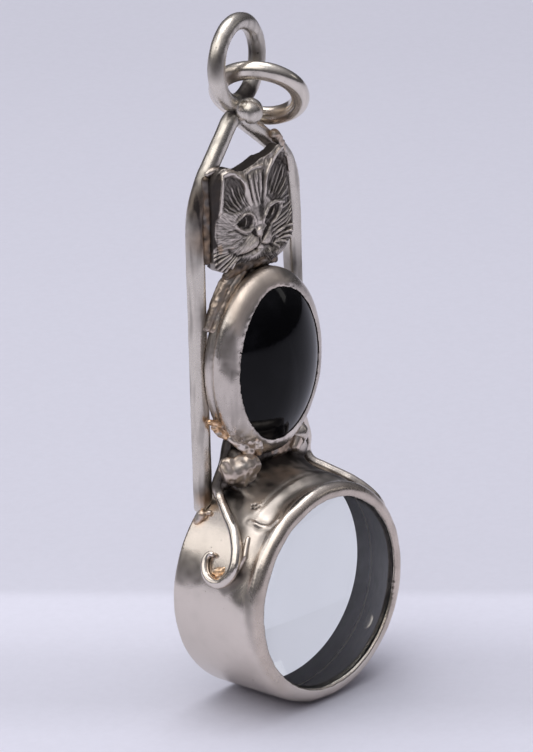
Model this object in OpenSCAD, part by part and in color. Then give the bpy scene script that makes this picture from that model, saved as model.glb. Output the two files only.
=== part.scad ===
// Loupe pendant: a thick magnifying lens in a round silver housing, hung from a hairpin wire
// frame that also carries an oval stone in a heavy bezel and a cast cat face.
// Millimetres. X is to the right as seen from the front, -Y is the front, +Z is up.
// Sizes are worked out with the housing's lowest point at Z = 0 and its axis at X = 0,
// and the whole model is then carried so that the hanging point of the bail is the origin.

/* [Lens housing] */
// Outer diameter of the housing's band
housing_d = 29.6; // [29:0.1:31]
// Depth of the band from the opening's edge to the back edge
housing_depth = 14; // [13.6:0.1:15]
// Diameter of the opening that shows the lens
opening_d = 25.2; // [24.6:0.1:25.6]
// Thickness of the rolled bead round the opening
bead_d = 2.6; // [2.2:0.1:2.8]
// How deep the top of the band is dished behind the bead
dish_depth = 0.6; // [0.2:0.1:0.8]
// How far the saddle under the stone rises above the band
saddle_rise = 1.6; // [1:0.1:1.8]

/* [Lens] */
// Diameter of the lens
lens_d = 26.4; // [26:0.1:26.4]
// Thickness of the lens at its blackened edge
lens_edge = 11.7; // [9:0.1:11.7]
// Radius of both curved faces of the lens
lens_curve = 47; // [40:1:120]

/* [Wire frame] */
// Diameter of the frame wire
wire_d = 2.3; // [1.8:0.1:2.4]
// Distance between the two upright rails, centre to centre
rail_spacing = 18.2; // [18:0.1:18.6]
// Bend radius at the top of the left rail
left_bend = 12; // [10:0.5:12]
// Lean of the left arm from upright, in degrees
left_lean = 38; // [36:1:40]
// Bend radius at the top of the right rail
right_bend = 8; // [7:0.5:9]
// Lean of the right arm from upright, in degrees
right_lean = 51; // [49:1:53]
// Diameter of the ball at the apex
ball_d = 3.5; // [3:0.1:3.6]

/* [Rings] */
// Wire diameter of both rings
ring_wire_d = 2.24; // [1.8:0.02:2.24]
// Mean diameter of the fixed bail ring
bail_d = 10.3; // [10:0.1:10.5]
// Turn of the bail ring about the upright axis, in degrees
bail_turn = 12.6; // [10:0.2:15]
// Mean diameter of the loose jump ring
jump_d = 10.6; // [10.4:0.1:10.8]

/* [Stone and bezel] */
// Width of the stone that shows in the bezel
stone_w = 15; // [14.6:0.1:15]
// Height of the dome above the bezel's lip
dome_rise = 2.6; // [1.5:0.1:2.8]
// Height of an oval divided by its width
oval = 1.3; // [1.28:0.01:1.32]
// Thickness of the bezel wall at its widest
bezel_wall = 2.1; // [1.8:0.1:2.2]

/* [Cat face] */
// Depth of the casting from its back to the front of the cheeks
cat_depth = 2.5; // [2.2:0.1:2.8]
// Strength of the raised features, where 1 is as cast
cat_relief = 1; // [0.5:0.1:1.2]

/* [Scrolls] */
// Wire diameter of a scroll where it leaves the bezel
scroll_d = 1.4; // [1:0.1:1.4]
// Wire diameter of a scroll at the tip of its hook
scroll_tip_d = 0.8; // [0.6:0.1:1]

/* [Hidden] */
$fn = 64;

// Hairline left between pieces, where the real ones are soldered or set
seam = 0.05;

// Lens housing: depths are measured back from the edge of the opening
housing_r = housing_d / 2;
axis_z = housing_r;
front_y = -13.4;
opening_r = opening_d / 2;
bead_r = bead_d / 2;
bead_tilt = 24;
bead_at = [opening_r + bead_r * sin(bead_tilt), bead_r * cos(bead_tilt)];
bore_r = lens_d / 2 + seam;
front_lip = 0.65;
back_lip = 0.65;
back_opening_r = opening_r + 0.15;
back_land = 0.9;
edge_round = 0.5;
band_start = 2.1;

// Saddle that carries the bezel's lower end
saddle_start = 6.3;
saddle_end = 12.3;
saddle_curve = 8;
saddle_half_angle = 26;

// Wire frame
wire_r = wire_d / 2;
rail_x = rail_spacing / 2;
left_bend_z = 62.6;
right_bend_z = 64.6;
left_arm = [-rail_x + left_bend * (1 - cos(left_lean)), left_bend_z + left_bend * sin(left_lean)];
right_arm = [rail_x - right_bend * (1 - cos(right_lean)), right_bend_z + right_bend * sin(right_lean)];
left_arm_run = ((right_arm[0] - left_arm[0]) * cos(right_lean)
    + (right_arm[1] - left_arm[1]) * sin(right_lean)) / sin(left_lean + right_lean);
apex = left_arm + left_arm_run * [sin(left_lean), cos(left_lean)];
right_arm_run = (right_arm[0] - apex[0]) / sin(right_lean);
apex_bend = 1.6;
apex_turn = 180 - left_lean - right_lean;
apex_cut = apex_bend * tan(apex_turn / 2);
apex_centre = apex - apex_cut * [sin(left_lean), cos(left_lean)]
    + apex_bend * [cos(left_lean), -sin(left_lean)];
ball_at = [-0.46, -2, 77.1];
joint_gap = 0.03;
joint_swell = 0.02;

// Rings
ring_wire_r = ring_wire_d / 2;
bail_r = bail_d / 2;
bail_at = [-0.4, 0, 83.2];
hang_at = bail_at + [0, 0, bail_r - ring_wire_r];
jump_r = jump_d / 2;
jump_at = [2.51, -0.98, 78.6];
// Direction square to the plane of the jump ring, where it lies against the right arm
jump_normal = [0.649, 0.405, 0.644];

// Stone and bezel
stone_at = [0, 44.2];
lip_y = -5.45;
stone_r = stone_w / 2;
girdle_r = stone_r + 0.5;
dome_r = (stone_r * stone_r + dome_rise * dome_rise) / (2 * dome_rise);
dome_centre = dome_rise - dome_r;
girdle_drop = dome_centre + sqrt(dome_r * dome_r - girdle_r * girdle_r);
bezel_back_y = -wire_r - seam;
bezel_floor = 0.7;
plate_rim = 1.2;
plate_overhang = 1.95;
cavity_r = girdle_r + 0.1;
oval_steps = 80;
dome_rings = 14;

// Cat face: x, lowest z and highest z of the casting's outline, from left to right
CAT_OUTLINE = [
    [-7.80, 58.8, 69.0],
    [-7.20, 58.0, 70.4],
    [-6.20, 57.2, 71.0],
    [-5.20, 56.9, 70.9],
    [-3.60, 57.0, 69.9],
    [-2.00, 56.8, 69.6],
    [ 0.00, 56.8, 70.0],
    [ 1.50, 56.8, 70.5],
    [ 2.60, 57.0, 71.2],
    [ 4.00, 57.4, 71.9],
    [ 5.00, 57.8, 71.2],
    [ 6.00, 58.6, 69.3],
    [ 6.80, 59.5, 66.8],
    [ 7.20, 60.6, 64.8]
];
cat_columns = 40;
cat_rows = 36;
cat_mid_x = -0.3;
eye_z = 63.5;
eye_half_gap = 2.75;
nose_z = 61.4;
muzzle_z = 60.1;
ear_z = 67.9;

// Scrolls: angle from the housing's top, depth from the front and height above the band,
// from beside the bezel down the stem and round the hook
SCROLL_PATH = [
    [19.7, 11.4, 6.90],
    [23.5, 11.4, 5.40],
    [27.6, 11.3, 3.70],
    [30.4, 11.5, 2.10],
    [33.4, 10.8, 1.00],
    [37.8,  9.3, 0.82],
    [43.2,  7.4, 0.79],
    [47.7,  5.9, 0.78],
    [53.2,  4.7, 0.78],
    [58.1,  4.0, 0.78],
    [64.0,  3.7, 0.78],
    [69.3,  4.2, 0.77],
    [73.0,  5.4, 0.75],
    [73.3,  6.9, 0.71],
    [70.9,  8.1, 0.66],
    [67.0,  8.7, 0.61],
    [63.4,  8.8, 0.56],
    [60.9,  8.4, 0.52],
    [61.2,  7.7, 0.48]
];
scroll_sides = 10;
scroll_steps = 3;

// Carries a piece from the floor-based sizes to the hanging point
module from_hang_point() {
    translate(-hang_at) children();
}

// Turns a solid drawn round +Z so that its axis runs from the front to the back of the housing
module along_housing() {
    translate([0, front_y, axis_z]) rotate([-90, 0, 0]) children();
}

// Band, bead, lips and bore of the housing: x is the radius, y is the depth
module housing_section() {
    difference() {
        union() {
            translate(bead_at) circle(r = bead_r);
            translate([opening_r + 0.2, bead_at[1]])
                square([bead_at[0] + 0.6 * bead_r - opening_r - 0.2, band_start + 1 - bead_at[1]]);
            translate([opening_r - 0.6, band_start])
                square([housing_r - edge_round - opening_r + 0.6, housing_depth - band_start]);
            translate([opening_r, band_start + edge_round])
                square([housing_r - opening_r, housing_depth - band_start - 2 * edge_round]);
            translate([housing_r - edge_round, band_start + edge_round]) circle(r = edge_round);
            translate([housing_r - edge_round, housing_depth - edge_round]) circle(r = edge_round);
        }
        translate([0, -2]) square([opening_r, housing_depth + 4]);
        translate([0, front_lip]) square([bore_r, lens_edge + 2 * seam]);
        translate([0, front_lip + lens_edge]) square([back_opening_r, housing_depth]);
        polygon([
            [bore_r, front_lip],
            [opening_r - 1, front_lip - 0.3 * (bore_r - opening_r + 1)],
            [opening_r - 1, front_lip + 1],
            [bore_r, front_lip + 1]
        ]);
        polygon([
            [bore_r, front_lip + lens_edge + 2 * seam],
            [opening_r - 1, front_lip + lens_edge + 2 * seam + 0.3 * (bore_r - opening_r + 1)],
            [opening_r - 1, front_lip + lens_edge - 1],
            [bore_r, front_lip + lens_edge - 1]
        ]);
        polygon([
            [opening_r - 1, front_lip + lens_edge + back_lip],
            [back_opening_r, front_lip + lens_edge + back_lip],
            [housing_r - back_land, housing_depth + 0.01],
            [opening_r - 1, housing_depth + 0.01]
        ]);
    }
}

// Shallow hollow round the top of the band, which fades out at the sides
module dish_cutter() {
    cutter_r = 3.2;
    shift = dish_depth * 1.2;
    inner_r = housing_r - dish_depth + shift;
    translate([0, shift, 3.45]) rotate_extrude()
        translate([inner_r + cutter_r, 0]) circle(r = cutter_r);
}

// Flared rise on the top of the band, under the bezel
module saddle() {
    top_r = housing_r + saddle_rise;
    rotate([0, 0, -90 - saddle_half_angle]) rotate_extrude(angle = 2 * saddle_half_angle)
        difference() {
            translate([housing_r - 0.8, saddle_start])
                square([top_r - housing_r + 0.8, saddle_end - saddle_start]);
            translate([housing_r + saddle_curve, saddle_start]) circle(r = saddle_curve);
        }
}

// Rough melted lumps of silver between the bezel and the housing
module nuggets() {
    LUMPS = [
        [-5.30, -2.7, 30.8, 2.00],
        [-5.10, -3.0, 32.0, 1.30],
        [-5.90, -2.8, 32.6, 1.32],
        [-6.30, -2.3, 31.6, 1.40],
        [-4.10, -2.6, 31.0, 1.35],
        [-5.30, -3.2, 29.9, 1.45],
        [ 6.10, -2.4, 30.5, 1.60],
        [ 6.00, -3.0, 32.6, 1.42]
    ];
    for (lump = LUMPS) translate([lump[0], lump[1], lump[2]]) sphere(r = lump[3]);
}

module lens_housing() {
    color([0.80, 0.78, 0.76]) from_hang_point() {
        along_housing() {
            difference() {
                rotate_extrude() housing_section();
                dish_cutter();
            }
            saddle();
        }
        nuggets();
    }
}

// Thick lens, curved on both faces, with a plain edge
module lens() {
    half = lens_edge / 2;
    lens_r = lens_d / 2;
    face_centre = sqrt(lens_curve * lens_curve - lens_r * lens_r) - half;
    color([0.82, 0.88, 0.92, 0.6]) from_hang_point() along_housing()
        translate([0, 0, front_lip + seam + half]) rotate_extrude() intersection() {
            translate([0, -lens_edge]) square([lens_r, 2 * lens_edge]);
            translate([0, face_centre]) circle(r = lens_curve);
            translate([0, -face_centre]) circle(r = lens_curve);
        }
}

// A straight piece of frame wire from a point in the XZ plane, leaning from upright
module frame_wire(start, run, lean) {
    along = [sin(lean), cos(lean)];
    foot = start + joint_gap * along;
    translate([foot[0], 0, foot[1]]) rotate([0, lean, 0])
        cylinder(h = run - 2 * joint_gap, r = wire_r);
}

// A bent piece of frame wire in the XZ plane
module frame_bend(centre, radius, start_angle, sweep) {
    translate([centre[0], 0, centre[1]]) rotate([90, 0, 0]) rotate([0, 0, start_angle])
        rotate_extrude(angle = sweep) translate([radius, 0]) circle(r = wire_r);
}

// Slight swelling that joins a straight piece to a bend
module frame_joint(at) {
    translate([at[0], 0, at[1]]) sphere(r = wire_r + joint_swell);
}

// Upright rail, with its foot shaped to the housing's band
module rail(x, top) {
    difference() {
        frame_wire([x, axis_z], top - axis_z, 0);
        translate([0, 0, axis_z]) rotate([90, 0, 0])
            cylinder(h = 4 * wire_d, r = housing_r + seam, center = true);
    }
}

// Wire ring round the Y axis
module ring(mean_r) {
    rotate([90, 0, 0]) rotate_extrude() translate([mean_r, 0]) circle(r = ring_wire_r);
}

module wire_frame() {
    left_top = left_arm + (left_arm_run - apex_cut) * [sin(left_lean), cos(left_lean)];
    right_top = right_arm + (right_arm_run - apex_cut) * [-sin(right_lean), cos(right_lean)];
    color([0.74, 0.72, 0.70]) from_hang_point() union() {
        rail(-rail_x, left_bend_z);
        rail(rail_x, right_bend_z);
        frame_bend([left_bend - rail_x, left_bend_z], left_bend, 180 - left_lean, left_lean);
        frame_bend([rail_x - right_bend, right_bend_z], right_bend, 0, right_lean);
        frame_wire(left_arm, left_arm_run - apex_cut, left_lean);
        frame_wire(right_arm, right_arm_run - apex_cut, -right_lean);
        frame_bend(apex_centre, apex_bend, right_lean, apex_turn);
        for (at = [[-rail_x, left_bend_z], [rail_x, right_bend_z], left_arm, right_arm, left_top, right_top])
            frame_joint(at);
        translate(ball_at) sphere(d = ball_d);
        translate(bail_at) rotate([0, 0, bail_turn]) ring(bail_r);
    }
}

// Height of the stone's dome above the bezel's back, at a distance from the stone's centre
function dome_height(x) = bezel_back_y - lip_y + dome_centre + sqrt(dome_r * dome_r - x * x);

// Unevenness of the hammered bezel at an angle round the stone, between -1 and 1
function hammered(a) = 0.45 * sin(3 * a + 40) + 0.3 * sin(7 * a + 10) + 0.25 * sin(13 * a + 70);

// Outline of the bezel at an angle round the stone: x is the distance from the stone's centre
// and y the height above the back, from the back over the lip to the floor of the cup
function bezel_outline(a) =
    let(lip = bezel_back_y - lip_y, rim = stone_r + plate_overhang, bulge_at = lip - bezel_wall,
        edge = stone_r + 0.12 + 0.1 * hammered(a), bulge = bezel_wall - 0.06 + 0.05 * hammered(a + 25))
    concat(
        [[rim, 0], [rim, plate_rim - 0.25], [rim - 0.12, plate_rim - 0.08], [rim - 0.33, plate_rim]],
        [for (t = [-22:10:78]) [stone_r + bulge * cos(t), bulge_at + bulge * sin(t)]],
        [for (s = [0:0.25:1]) let(x = edge + (cavity_r - edge) * s) [x, dome_height(x) + seam]],
        [[cavity_r, bezel_floor]]);

// Outline of the stone: a flat base, a plain girdle and a dome
function stone_outline() = concat(
    [[girdle_r, bezel_floor + seam]],
    [for (s = [dome_rings:-1:1]) let(x = girdle_r * s / dome_rings) [x, dome_height(x)]]);

// Solid from one outline for each step round the oval, closed by a point at the middle of the
// back and one at the middle of the front
module oval_solid(outlines, back, front) {
    steps = len(outlines);
    count = len(outlines[0]);
    points = concat(
        [for (k = [0:steps - 1], p = outlines[k]) let(a = k * 360 / steps)
            [p[0] * cos(a), -p[1], p[0] * oval * sin(a)]],
        [[0, -back, 0], [0, -front, 0]]);
    function at(k, m) = (k % steps) * count + m;
    walls = [for (k = [0:steps - 1], m = [0:count - 2], half = [0, 1])
        half == 0 ? [at(k, m), at(k, m + 1), at(k + 1, m + 1)]
                  : [at(k, m), at(k + 1, m + 1), at(k + 1, m)]];
    back_fan = [for (k = [0:steps - 1]) [steps * count, at(k, 0), at(k + 1, 0)]];
    front_fan = [for (k = [0:steps - 1]) [at(k, count - 1), steps * count + 1, at(k + 1, count - 1)]];
    translate([stone_at[0], bezel_back_y, stone_at[1]])
        polyhedron(points = points, faces = concat(walls, back_fan, front_fan));
}

module bezel() {
    color([0.80, 0.78, 0.76]) from_hang_point()
        oval_solid([for (k = [0:oval_steps - 1]) bezel_outline(k * 360 / oval_steps)], 0, bezel_floor);
}

module cabochon() {
    color([0.05, 0.05, 0.06]) from_hang_point()
        oval_solid([for (k = [0:oval_steps - 1]) stone_outline()], bezel_floor + seam, dome_height(0));
}

// Smooth bell of height 1 at a centre, with its own width and height
function bell(x, z, cx, cz, wide, high) = exp(-pow((x - cx) / wide, 2) - pow((z - cz) / high, 2));

// Value between 0 and 1 that rises smoothly from low to high
function ramp(v, low, high) = let(s = min(1, max(0, (v - low) / (high - low)))) s * s * (3 - 2 * s);

// Distance from an ear's centre in units of the ear, where 1 is its rim
function ear_distance(x, z, side) =
    let(cx = cat_mid_x + side * 4.3, u = (x - cx) / 2.4, v = (z - ear_z) / 3.4,
        narrow = 1 - 0.25 * max(0, v))
    sqrt(pow(u / narrow, 2) + v * v);

// Height of one ear: a raised rim round a hollow
function ear_height(x, z, side) =
    let(d = ear_distance(x, z, side))
    0.28 * exp(-pow((d - 0.95) / 0.22, 2)) - 0.45 * (1 - ramp(d, 0.45, 0.9));

// Height of one eye: a lid round a hollow that holds the eyeball
function eye_height(x, z, side) =
    let(dx = (x - cat_mid_x) * side - eye_half_gap, dz = z - eye_z - 0.35 * dx,
        d = sqrt(pow(dx / 1.25, 2) + pow(dz / 0.85, 2)))
    0.22 * exp(-pow((d - 1) / 0.28, 2)) - 0.35 * (1 - ramp(d, 0.55, 0.95))
        + 0.22 * (1 - ramp(d, 0.1, 0.6));

// Tufts that fan out from the muzzle over the lower cheeks
function tuft_height(x, z) =
    let(dx = x - cat_mid_x, dz = z - muzzle_z - 1.2, r = sqrt(dx * dx + dz * dz),
        a = atan2(dz, abs(dx)))
    0.13 * ramp(r, 2.6, 4.4) * (1 - ramp(a, -8, 14)) * sin(a * 30);

function mouth_height(x, z) =
    -0.3 * bell(x, z, cat_mid_x, muzzle_z - 0.5, 0.28, 1.0)
    - 0.25 * bell(abs(x - cat_mid_x), z, 0.9, muzzle_z - 1.25, 0.8, 0.25);

function muzzle_height(x, z) =
    0.6 * bell(abs(x - cat_mid_x), z, 1.15, muzzle_z, 1.2, 1.1)
    + 0.45 * bell(x, z, cat_mid_x, nose_z, 0.65, 0.5)
    + 0.35 * bell(x, z, cat_mid_x, nose_z + 2.4, 0.75, 2.2)
    + 0.3 * bell(x, z, cat_mid_x, muzzle_z - 2, 1.1, 0.6);

function cat_features(x, z) =
    muzzle_height(x, z) + mouth_height(x, z) + tuft_height(x, z)
    + 0.3 * bell(abs(x - cat_mid_x), z, 4.6, 61, 2, 2)
    + 0.2 * bell(x, z, cat_mid_x, 67.5, 2, 2)
    + ear_height(x, z, -1) + ear_height(x, z, 1) + eye_height(x, z, -1) + eye_height(x, z, 1);

// Share by which the casting is lifted forward, where the ears pass in front of the wire
function cat_lift(x, z) =
    let(right_reach = norm([x - rail_x + right_bend, z - right_bend_z]),
        left_reach = norm([x + rail_x - left_bend, max(z, left_bend_z) - left_bend_z]))
    max(ramp(right_reach, right_bend - 2.1, right_bend - 1.55) * ramp(x, 0.6, 1.6),
        ramp(left_reach, left_bend - 2.1, left_bend - 1.55) * ramp(-x, 0.6, 1.6));

// Height of the cat's front above its back, where edge is 0 on the outline and 1 inside
function cat_front(x, z, edge) =
    cat_depth - 0.8 * pow((x - cat_mid_x) / 7.6, 4) - 0.55 * (1 - edge)
    + 0.8 * cat_lift(x, z) + cat_relief * edge * cat_features(x, z);

function cat_back(x, z) = -(wire_r + seam) * cat_lift(x, z) - 0.02;

function cat_edge_z(x, column) = lookup(x, [for (row = CAT_OUTLINE) [row[0], row[column]]]);

// Corner of the cat's grid, at column i and row j
function cat_corner(i, j) =
    let(first = CAT_OUTLINE[0][0], last = CAT_OUTLINE[len(CAT_OUTLINE) - 1][0],
        x = first + (last - first) * i / cat_columns,
        low = cat_edge_z(x, 1), high = cat_edge_z(x, 2))
    [x, low + (high - low) * j / cat_rows];

function cat_inside(i, j) =
    ramp(min([i / 3, (cat_columns - i) / 3, j / 3, (cat_rows - j) / 3]), 0, 1);

module cat_face() {
    per_side = (cat_columns + 1) * (cat_rows + 1);
    front = [for (i = [0:cat_columns], j = [0:cat_rows])
        let(c = cat_corner(i, j)) [c[0], -cat_front(c[0], c[1], cat_inside(i, j)), c[1]]];
    back = [for (i = [0:cat_columns], j = [0:cat_rows])
        let(c = cat_corner(i, j)) [c[0], cat_back(c[0], c[1]), c[1]]];
    function at(i, j) = i * (cat_rows + 1) + j;
    rim = concat([for (i = [0:cat_columns - 1]) at(i, 0)], [for (j = [0:cat_rows - 1]) at(cat_columns, j)],
        [for (i = [cat_columns:-1:1]) at(i, cat_rows)], [for (j = [cat_rows:-1:1]) at(0, j)]);
    front_faces = [for (i = [0:cat_columns - 1], j = [0:cat_rows - 1], half = [0, 1])
        half == 0 ? [at(i, j), at(i, j + 1), at(i + 1, j + 1)]
                  : [at(i, j), at(i + 1, j + 1), at(i + 1, j)]];
    back_faces = [for (f = front_faces) [f[2] + per_side, f[1] + per_side, f[0] + per_side]];
    rim_faces = [for (k = [0:len(rim) - 1], half = [0, 1])
        let(a = rim[k], b = rim[(k + 1) % len(rim)])
        half == 0 ? [a, b, b + per_side] : [a, b + per_side, a + per_side]];
    color([0.45, 0.44, 0.43]) from_hang_point()
        polyhedron(points = concat(front, back), faces = concat(front_faces, back_faces, rim_faces));
}

// Point near the housing from its angle from the top, depth and height above the band
function on_band(p) =
    [-(housing_r + p[2]) * sin(p[0]), front_y + p[1], axis_z + (housing_r + p[2]) * cos(p[0])];

// Smooth curve through four neighbouring rows of a table
function curve_row(a, b, c, d, s) =
    0.5 * (2 * b + (c - a) * s + (2 * a - 5 * b + 4 * c - d) * s * s + (3 * b - a - 3 * c + d) * s * s * s);

function path_row(k) = SCROLL_PATH[max(0, min(len(SCROLL_PATH) - 1, k))];

function scroll_rows() = concat(
    [for (k = [0:len(SCROLL_PATH) - 2], j = [0:scroll_steps - 1])
        curve_row(path_row(k - 1), path_row(k), path_row(k + 1), path_row(k + 2), j / scroll_steps)],
    [path_row(len(SCROLL_PATH) - 1)]);

function unit(v) = v / norm(v);

// Directions square to the path, each carried on from the one before
function carried(path, k, last) =
    k == len(path) ? [] :
    let(ahead = path[min(k + 1, len(path) - 1)], behind = path[max(k - 1, 0)], t = unit(ahead - behind),
        n = unit(last - (last * t) * t))
    concat([[n, cross(t, n)]], carried(path, k + 1, n));

// Round wire along a path, thinner towards its tip, with both ends drawn in
module swept_wire(path, thick, thin) {
    last = len(path) - 1;
    sides = carried(path, 0, [0, 1, 0]);
    radii = [for (k = [0:last]) 0.5 * (thick + (thin - thick) * ramp(k / last, 0.55, 1))
        * (k == 0 || k == last ? 0.5 : 1)];
    points = [for (k = [0:last], s = [0:scroll_sides - 1]) let(a = s * 360 / scroll_sides)
        path[k] + radii[k] * (cos(a) * sides[k][0] + sin(a) * sides[k][1])];
    walls = [for (k = [0:last - 1], s = [0:scroll_sides - 1], half = [0, 1])
        let(a = k * scroll_sides + s, b = k * scroll_sides + (s + 1) % scroll_sides)
        half == 0 ? [a, b + scroll_sides, b] : [a, a + scroll_sides, b + scroll_sides]];
    start = [for (s = [0:scroll_sides - 1]) s];
    end = [for (s = [scroll_sides - 1:-1:0]) last * scroll_sides + s];
    polyhedron(points = points, faces = concat([start], walls, [end]));
}

module scroll() {
    swept_wire([for (row = scroll_rows()) on_band(row)], scroll_d, scroll_tip_d);
}

module scroll_left() {
    color([0.86, 0.84, 0.80]) from_hang_point() scroll();
}

module scroll_right() {
    color([0.86, 0.84, 0.80]) from_hang_point() mirror([1, 0, 0]) scroll();
}

module jump_ring() {
    turn = atan2(-jump_normal[0], jump_normal[1]);
    dip = asin(jump_normal[2] / norm(jump_normal));
    color([0.72, 0.70, 0.67]) from_hang_point()
        translate(jump_at) rotate([0, 0, turn]) rotate([dip, 0, 0]) ring(jump_r);
}

wire_frame();
lens_housing();
lens();
bezel();
cabochon();
cat_face();
scroll_left();
scroll_right();
jump_ring();
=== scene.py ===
"""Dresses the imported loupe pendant: worn silver, a cast cat's face, a black stone and a thick glass lens.

Inside the shaping functions every length is in millimetres. It is measured from the floor under the
middle of the lens housing, with x to the right as the front is seen, y to the back and z up.
"""

import bpy
import numpy as np
from bpy.props import FloatProperty, FloatVectorProperty, PointerProperty
from mathutils import Matrix, Vector, noise


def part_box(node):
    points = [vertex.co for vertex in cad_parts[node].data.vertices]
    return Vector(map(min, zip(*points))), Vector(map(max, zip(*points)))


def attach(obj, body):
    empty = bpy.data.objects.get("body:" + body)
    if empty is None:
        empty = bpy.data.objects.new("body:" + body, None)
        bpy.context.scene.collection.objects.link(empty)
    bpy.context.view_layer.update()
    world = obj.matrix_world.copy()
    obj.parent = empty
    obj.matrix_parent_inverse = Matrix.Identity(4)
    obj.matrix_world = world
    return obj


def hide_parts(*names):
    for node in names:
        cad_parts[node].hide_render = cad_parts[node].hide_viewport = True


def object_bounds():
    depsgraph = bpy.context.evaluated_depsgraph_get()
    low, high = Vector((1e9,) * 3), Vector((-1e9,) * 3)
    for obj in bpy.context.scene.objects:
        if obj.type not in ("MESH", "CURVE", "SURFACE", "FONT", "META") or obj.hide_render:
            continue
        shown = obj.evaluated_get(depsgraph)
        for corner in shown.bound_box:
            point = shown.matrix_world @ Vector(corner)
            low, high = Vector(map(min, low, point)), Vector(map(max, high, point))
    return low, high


bl_info = {
    "name": "Loupe pendant",
    "version": (1, 0, 0),
    "blender": (4, 5, 0),
    "location": "View3D > Sidebar > Pendant",
    "description": "Builds the worn silver, stone and glass of a loupe pendant on its packed frame",
    "category": "Object",
}

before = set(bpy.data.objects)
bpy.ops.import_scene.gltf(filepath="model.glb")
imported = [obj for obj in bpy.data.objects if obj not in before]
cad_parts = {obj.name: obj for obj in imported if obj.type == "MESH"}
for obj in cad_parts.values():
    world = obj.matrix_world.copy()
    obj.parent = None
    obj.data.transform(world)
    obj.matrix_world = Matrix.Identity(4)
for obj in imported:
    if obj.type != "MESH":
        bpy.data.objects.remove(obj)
cad_low, cad_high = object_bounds()
housing_low, housing_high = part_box("lens_housing")

# Places on the object that many pieces share
FOOT = Vector(((housing_low.x + housing_high.x) / 2, 0, housing_low.z))
TO_MM = Matrix.Scale(1000, 4) @ Matrix.Translation(-FOOT)
TO_METRES = Matrix.Translation(FOOT) @ Matrix.Scale(0.001, 4)
DRUM_RADIUS = 14.8
DRUM_FRONT = -13.4
LENS_RADIUS = 13.2
LENS_EDGE = 11.7
LENS_CURVE = 47.0


class PendantSizes(bpy.types.PropertyGroup):
    """The sizes that a user would change."""

    dent: FloatProperty(
        name="Dent depth", description="How deep the hand-worked dents go", default=0.00006, unit="LENGTH"
    )
    fur: FloatProperty(
        name="Fur depth", description="How deep the lines of the fur are cut", default=0.00016, unit="LENGTH"
    )
    distance: FloatProperty(
        name="Camera distance", description="From the aim to the camera", default=0.67991, unit="LENGTH"
    )
    roll: FloatProperty(
        name="Camera roll", description="Turn of the picture", default=-0.027227, subtype="ANGLE"
    )
    azimuth: FloatProperty(
        name="Camera azimuth", description="Angle round the object", default=-0.827635, subtype="ANGLE"
    )
    elevation: FloatProperty(
        name="Camera elevation", description="Angle above the floor", default=0.337198, subtype="ANGLE"
    )


class PendantColours(bpy.types.PropertyGroup):
    """The colours that a user would change."""

    silver: FloatVectorProperty(
        name="Silver", description="Bright worn silver", default=(0.715, 0.645, 0.575), subtype="COLOR"
    )
    wire: FloatVectorProperty(
        name="Wire", description="Bright silver of the frame", default=(0.66, 0.61, 0.54), subtype="COLOR"
    )
    ring: FloatVectorProperty(
        name="Ring", description="Bright silver of the ring", default=(0.74, 0.68, 0.60), subtype="COLOR"
    )
    # The dark colour of oxide, also used for painted shade and painted dark reflections
    tarnish_and_shade: FloatVectorProperty(
        name="Tarnish And Shade", description="Dark oxide in hollows", default=(0.055, 0.047, 0.043), subtype="COLOR"
    )
    gold_and_warm_light: FloatVectorProperty(
        name="Gold", description="Flashes of gold at the joins", default=(0.90, 0.60, 0.36), subtype="COLOR"
    )
    stone: FloatVectorProperty(
        name="Stone", description="The black stone", default=(0.0015, 0.0015, 0.002), subtype="COLOR"
    )
    glass: FloatVectorProperty(
        name="Glass", description="The lens", default=(0.925, 0.955, 0.94), subtype="COLOR"
    )
    floor: FloatVectorProperty(
        name="Floor", description="The pale floor", default=(0.622, 0.621, 0.703), subtype="COLOR"
    )


def sizes():
    return bpy.context.scene.pendant_sizes


def colours():
    return bpy.context.scene.pendant_colours


# Picking, copying and finishing pieces
MERGE_DISTANCE = 0.0005


def deselect():
    bpy.ops.object.select_all(action="DESELECT")


def pick(piece):
    deselect()
    piece.select_set(True)
    bpy.context.view_layer.objects.active = piece


def edit(piece):
    pick(piece)
    bpy.ops.object.mode_set(mode="EDIT")


def leave_edit():
    bpy.ops.object.mode_set(mode="OBJECT")


def copy_of_node(node, name):
    """A copy of a CAD node's mesh in millimetres, with its loose triangles merged."""
    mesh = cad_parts[node].data.copy()
    mesh.name = name
    mesh.materials.clear()
    mesh.transform(TO_MM)
    piece = bpy.data.objects.new(name, mesh)
    bpy.context.scene.collection.objects.link(piece)
    edit(piece)
    bpy.ops.mesh.select_all(action="SELECT")
    bpy.ops.mesh.remove_doubles(threshold=MERGE_DISTANCE)
    bpy.ops.mesh.customdata_custom_splitnormals_clear()
    leave_edit()
    return piece


def remesh(piece, cell):
    pick(piece)
    grid = piece.modifiers.new("Even grid", "REMESH")
    grid.mode = "VOXEL"
    grid.voxel_size = cell
    bpy.ops.object.modifier_apply(modifier=grid.name)


def soften(piece, repeats, factor=0.5):
    pick(piece)
    smooth = piece.modifiers.new("Soften", "SMOOTH")
    smooth.factor = factor
    smooth.iterations = repeats
    bpy.ops.object.modifier_apply(modifier=smooth.name)


def fine_copy(node, name, cell, repeats):
    """A copy of a CAD node on an even grid of small faces, with its edges softened."""
    piece = copy_of_node(node, name)
    remesh(piece, cell)
    soften(piece, repeats)
    return piece


def finish_piece(piece, body, nodes, slot, *materials):
    """Puts a shaped piece back in metres and hangs it on its body."""
    move_points(piece, np.clip(points_of(piece), TO_MM @ cad_low, TO_MM @ cad_high))
    piece.data.transform(TO_METRES)
    piece.data.materials.clear()
    for material in materials:
        piece.data.materials.append(material)
    pick(piece)
    bpy.ops.object.shade_smooth()
    deselect()
    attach(piece, body)
    if nodes:
        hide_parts(*nodes)


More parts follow.
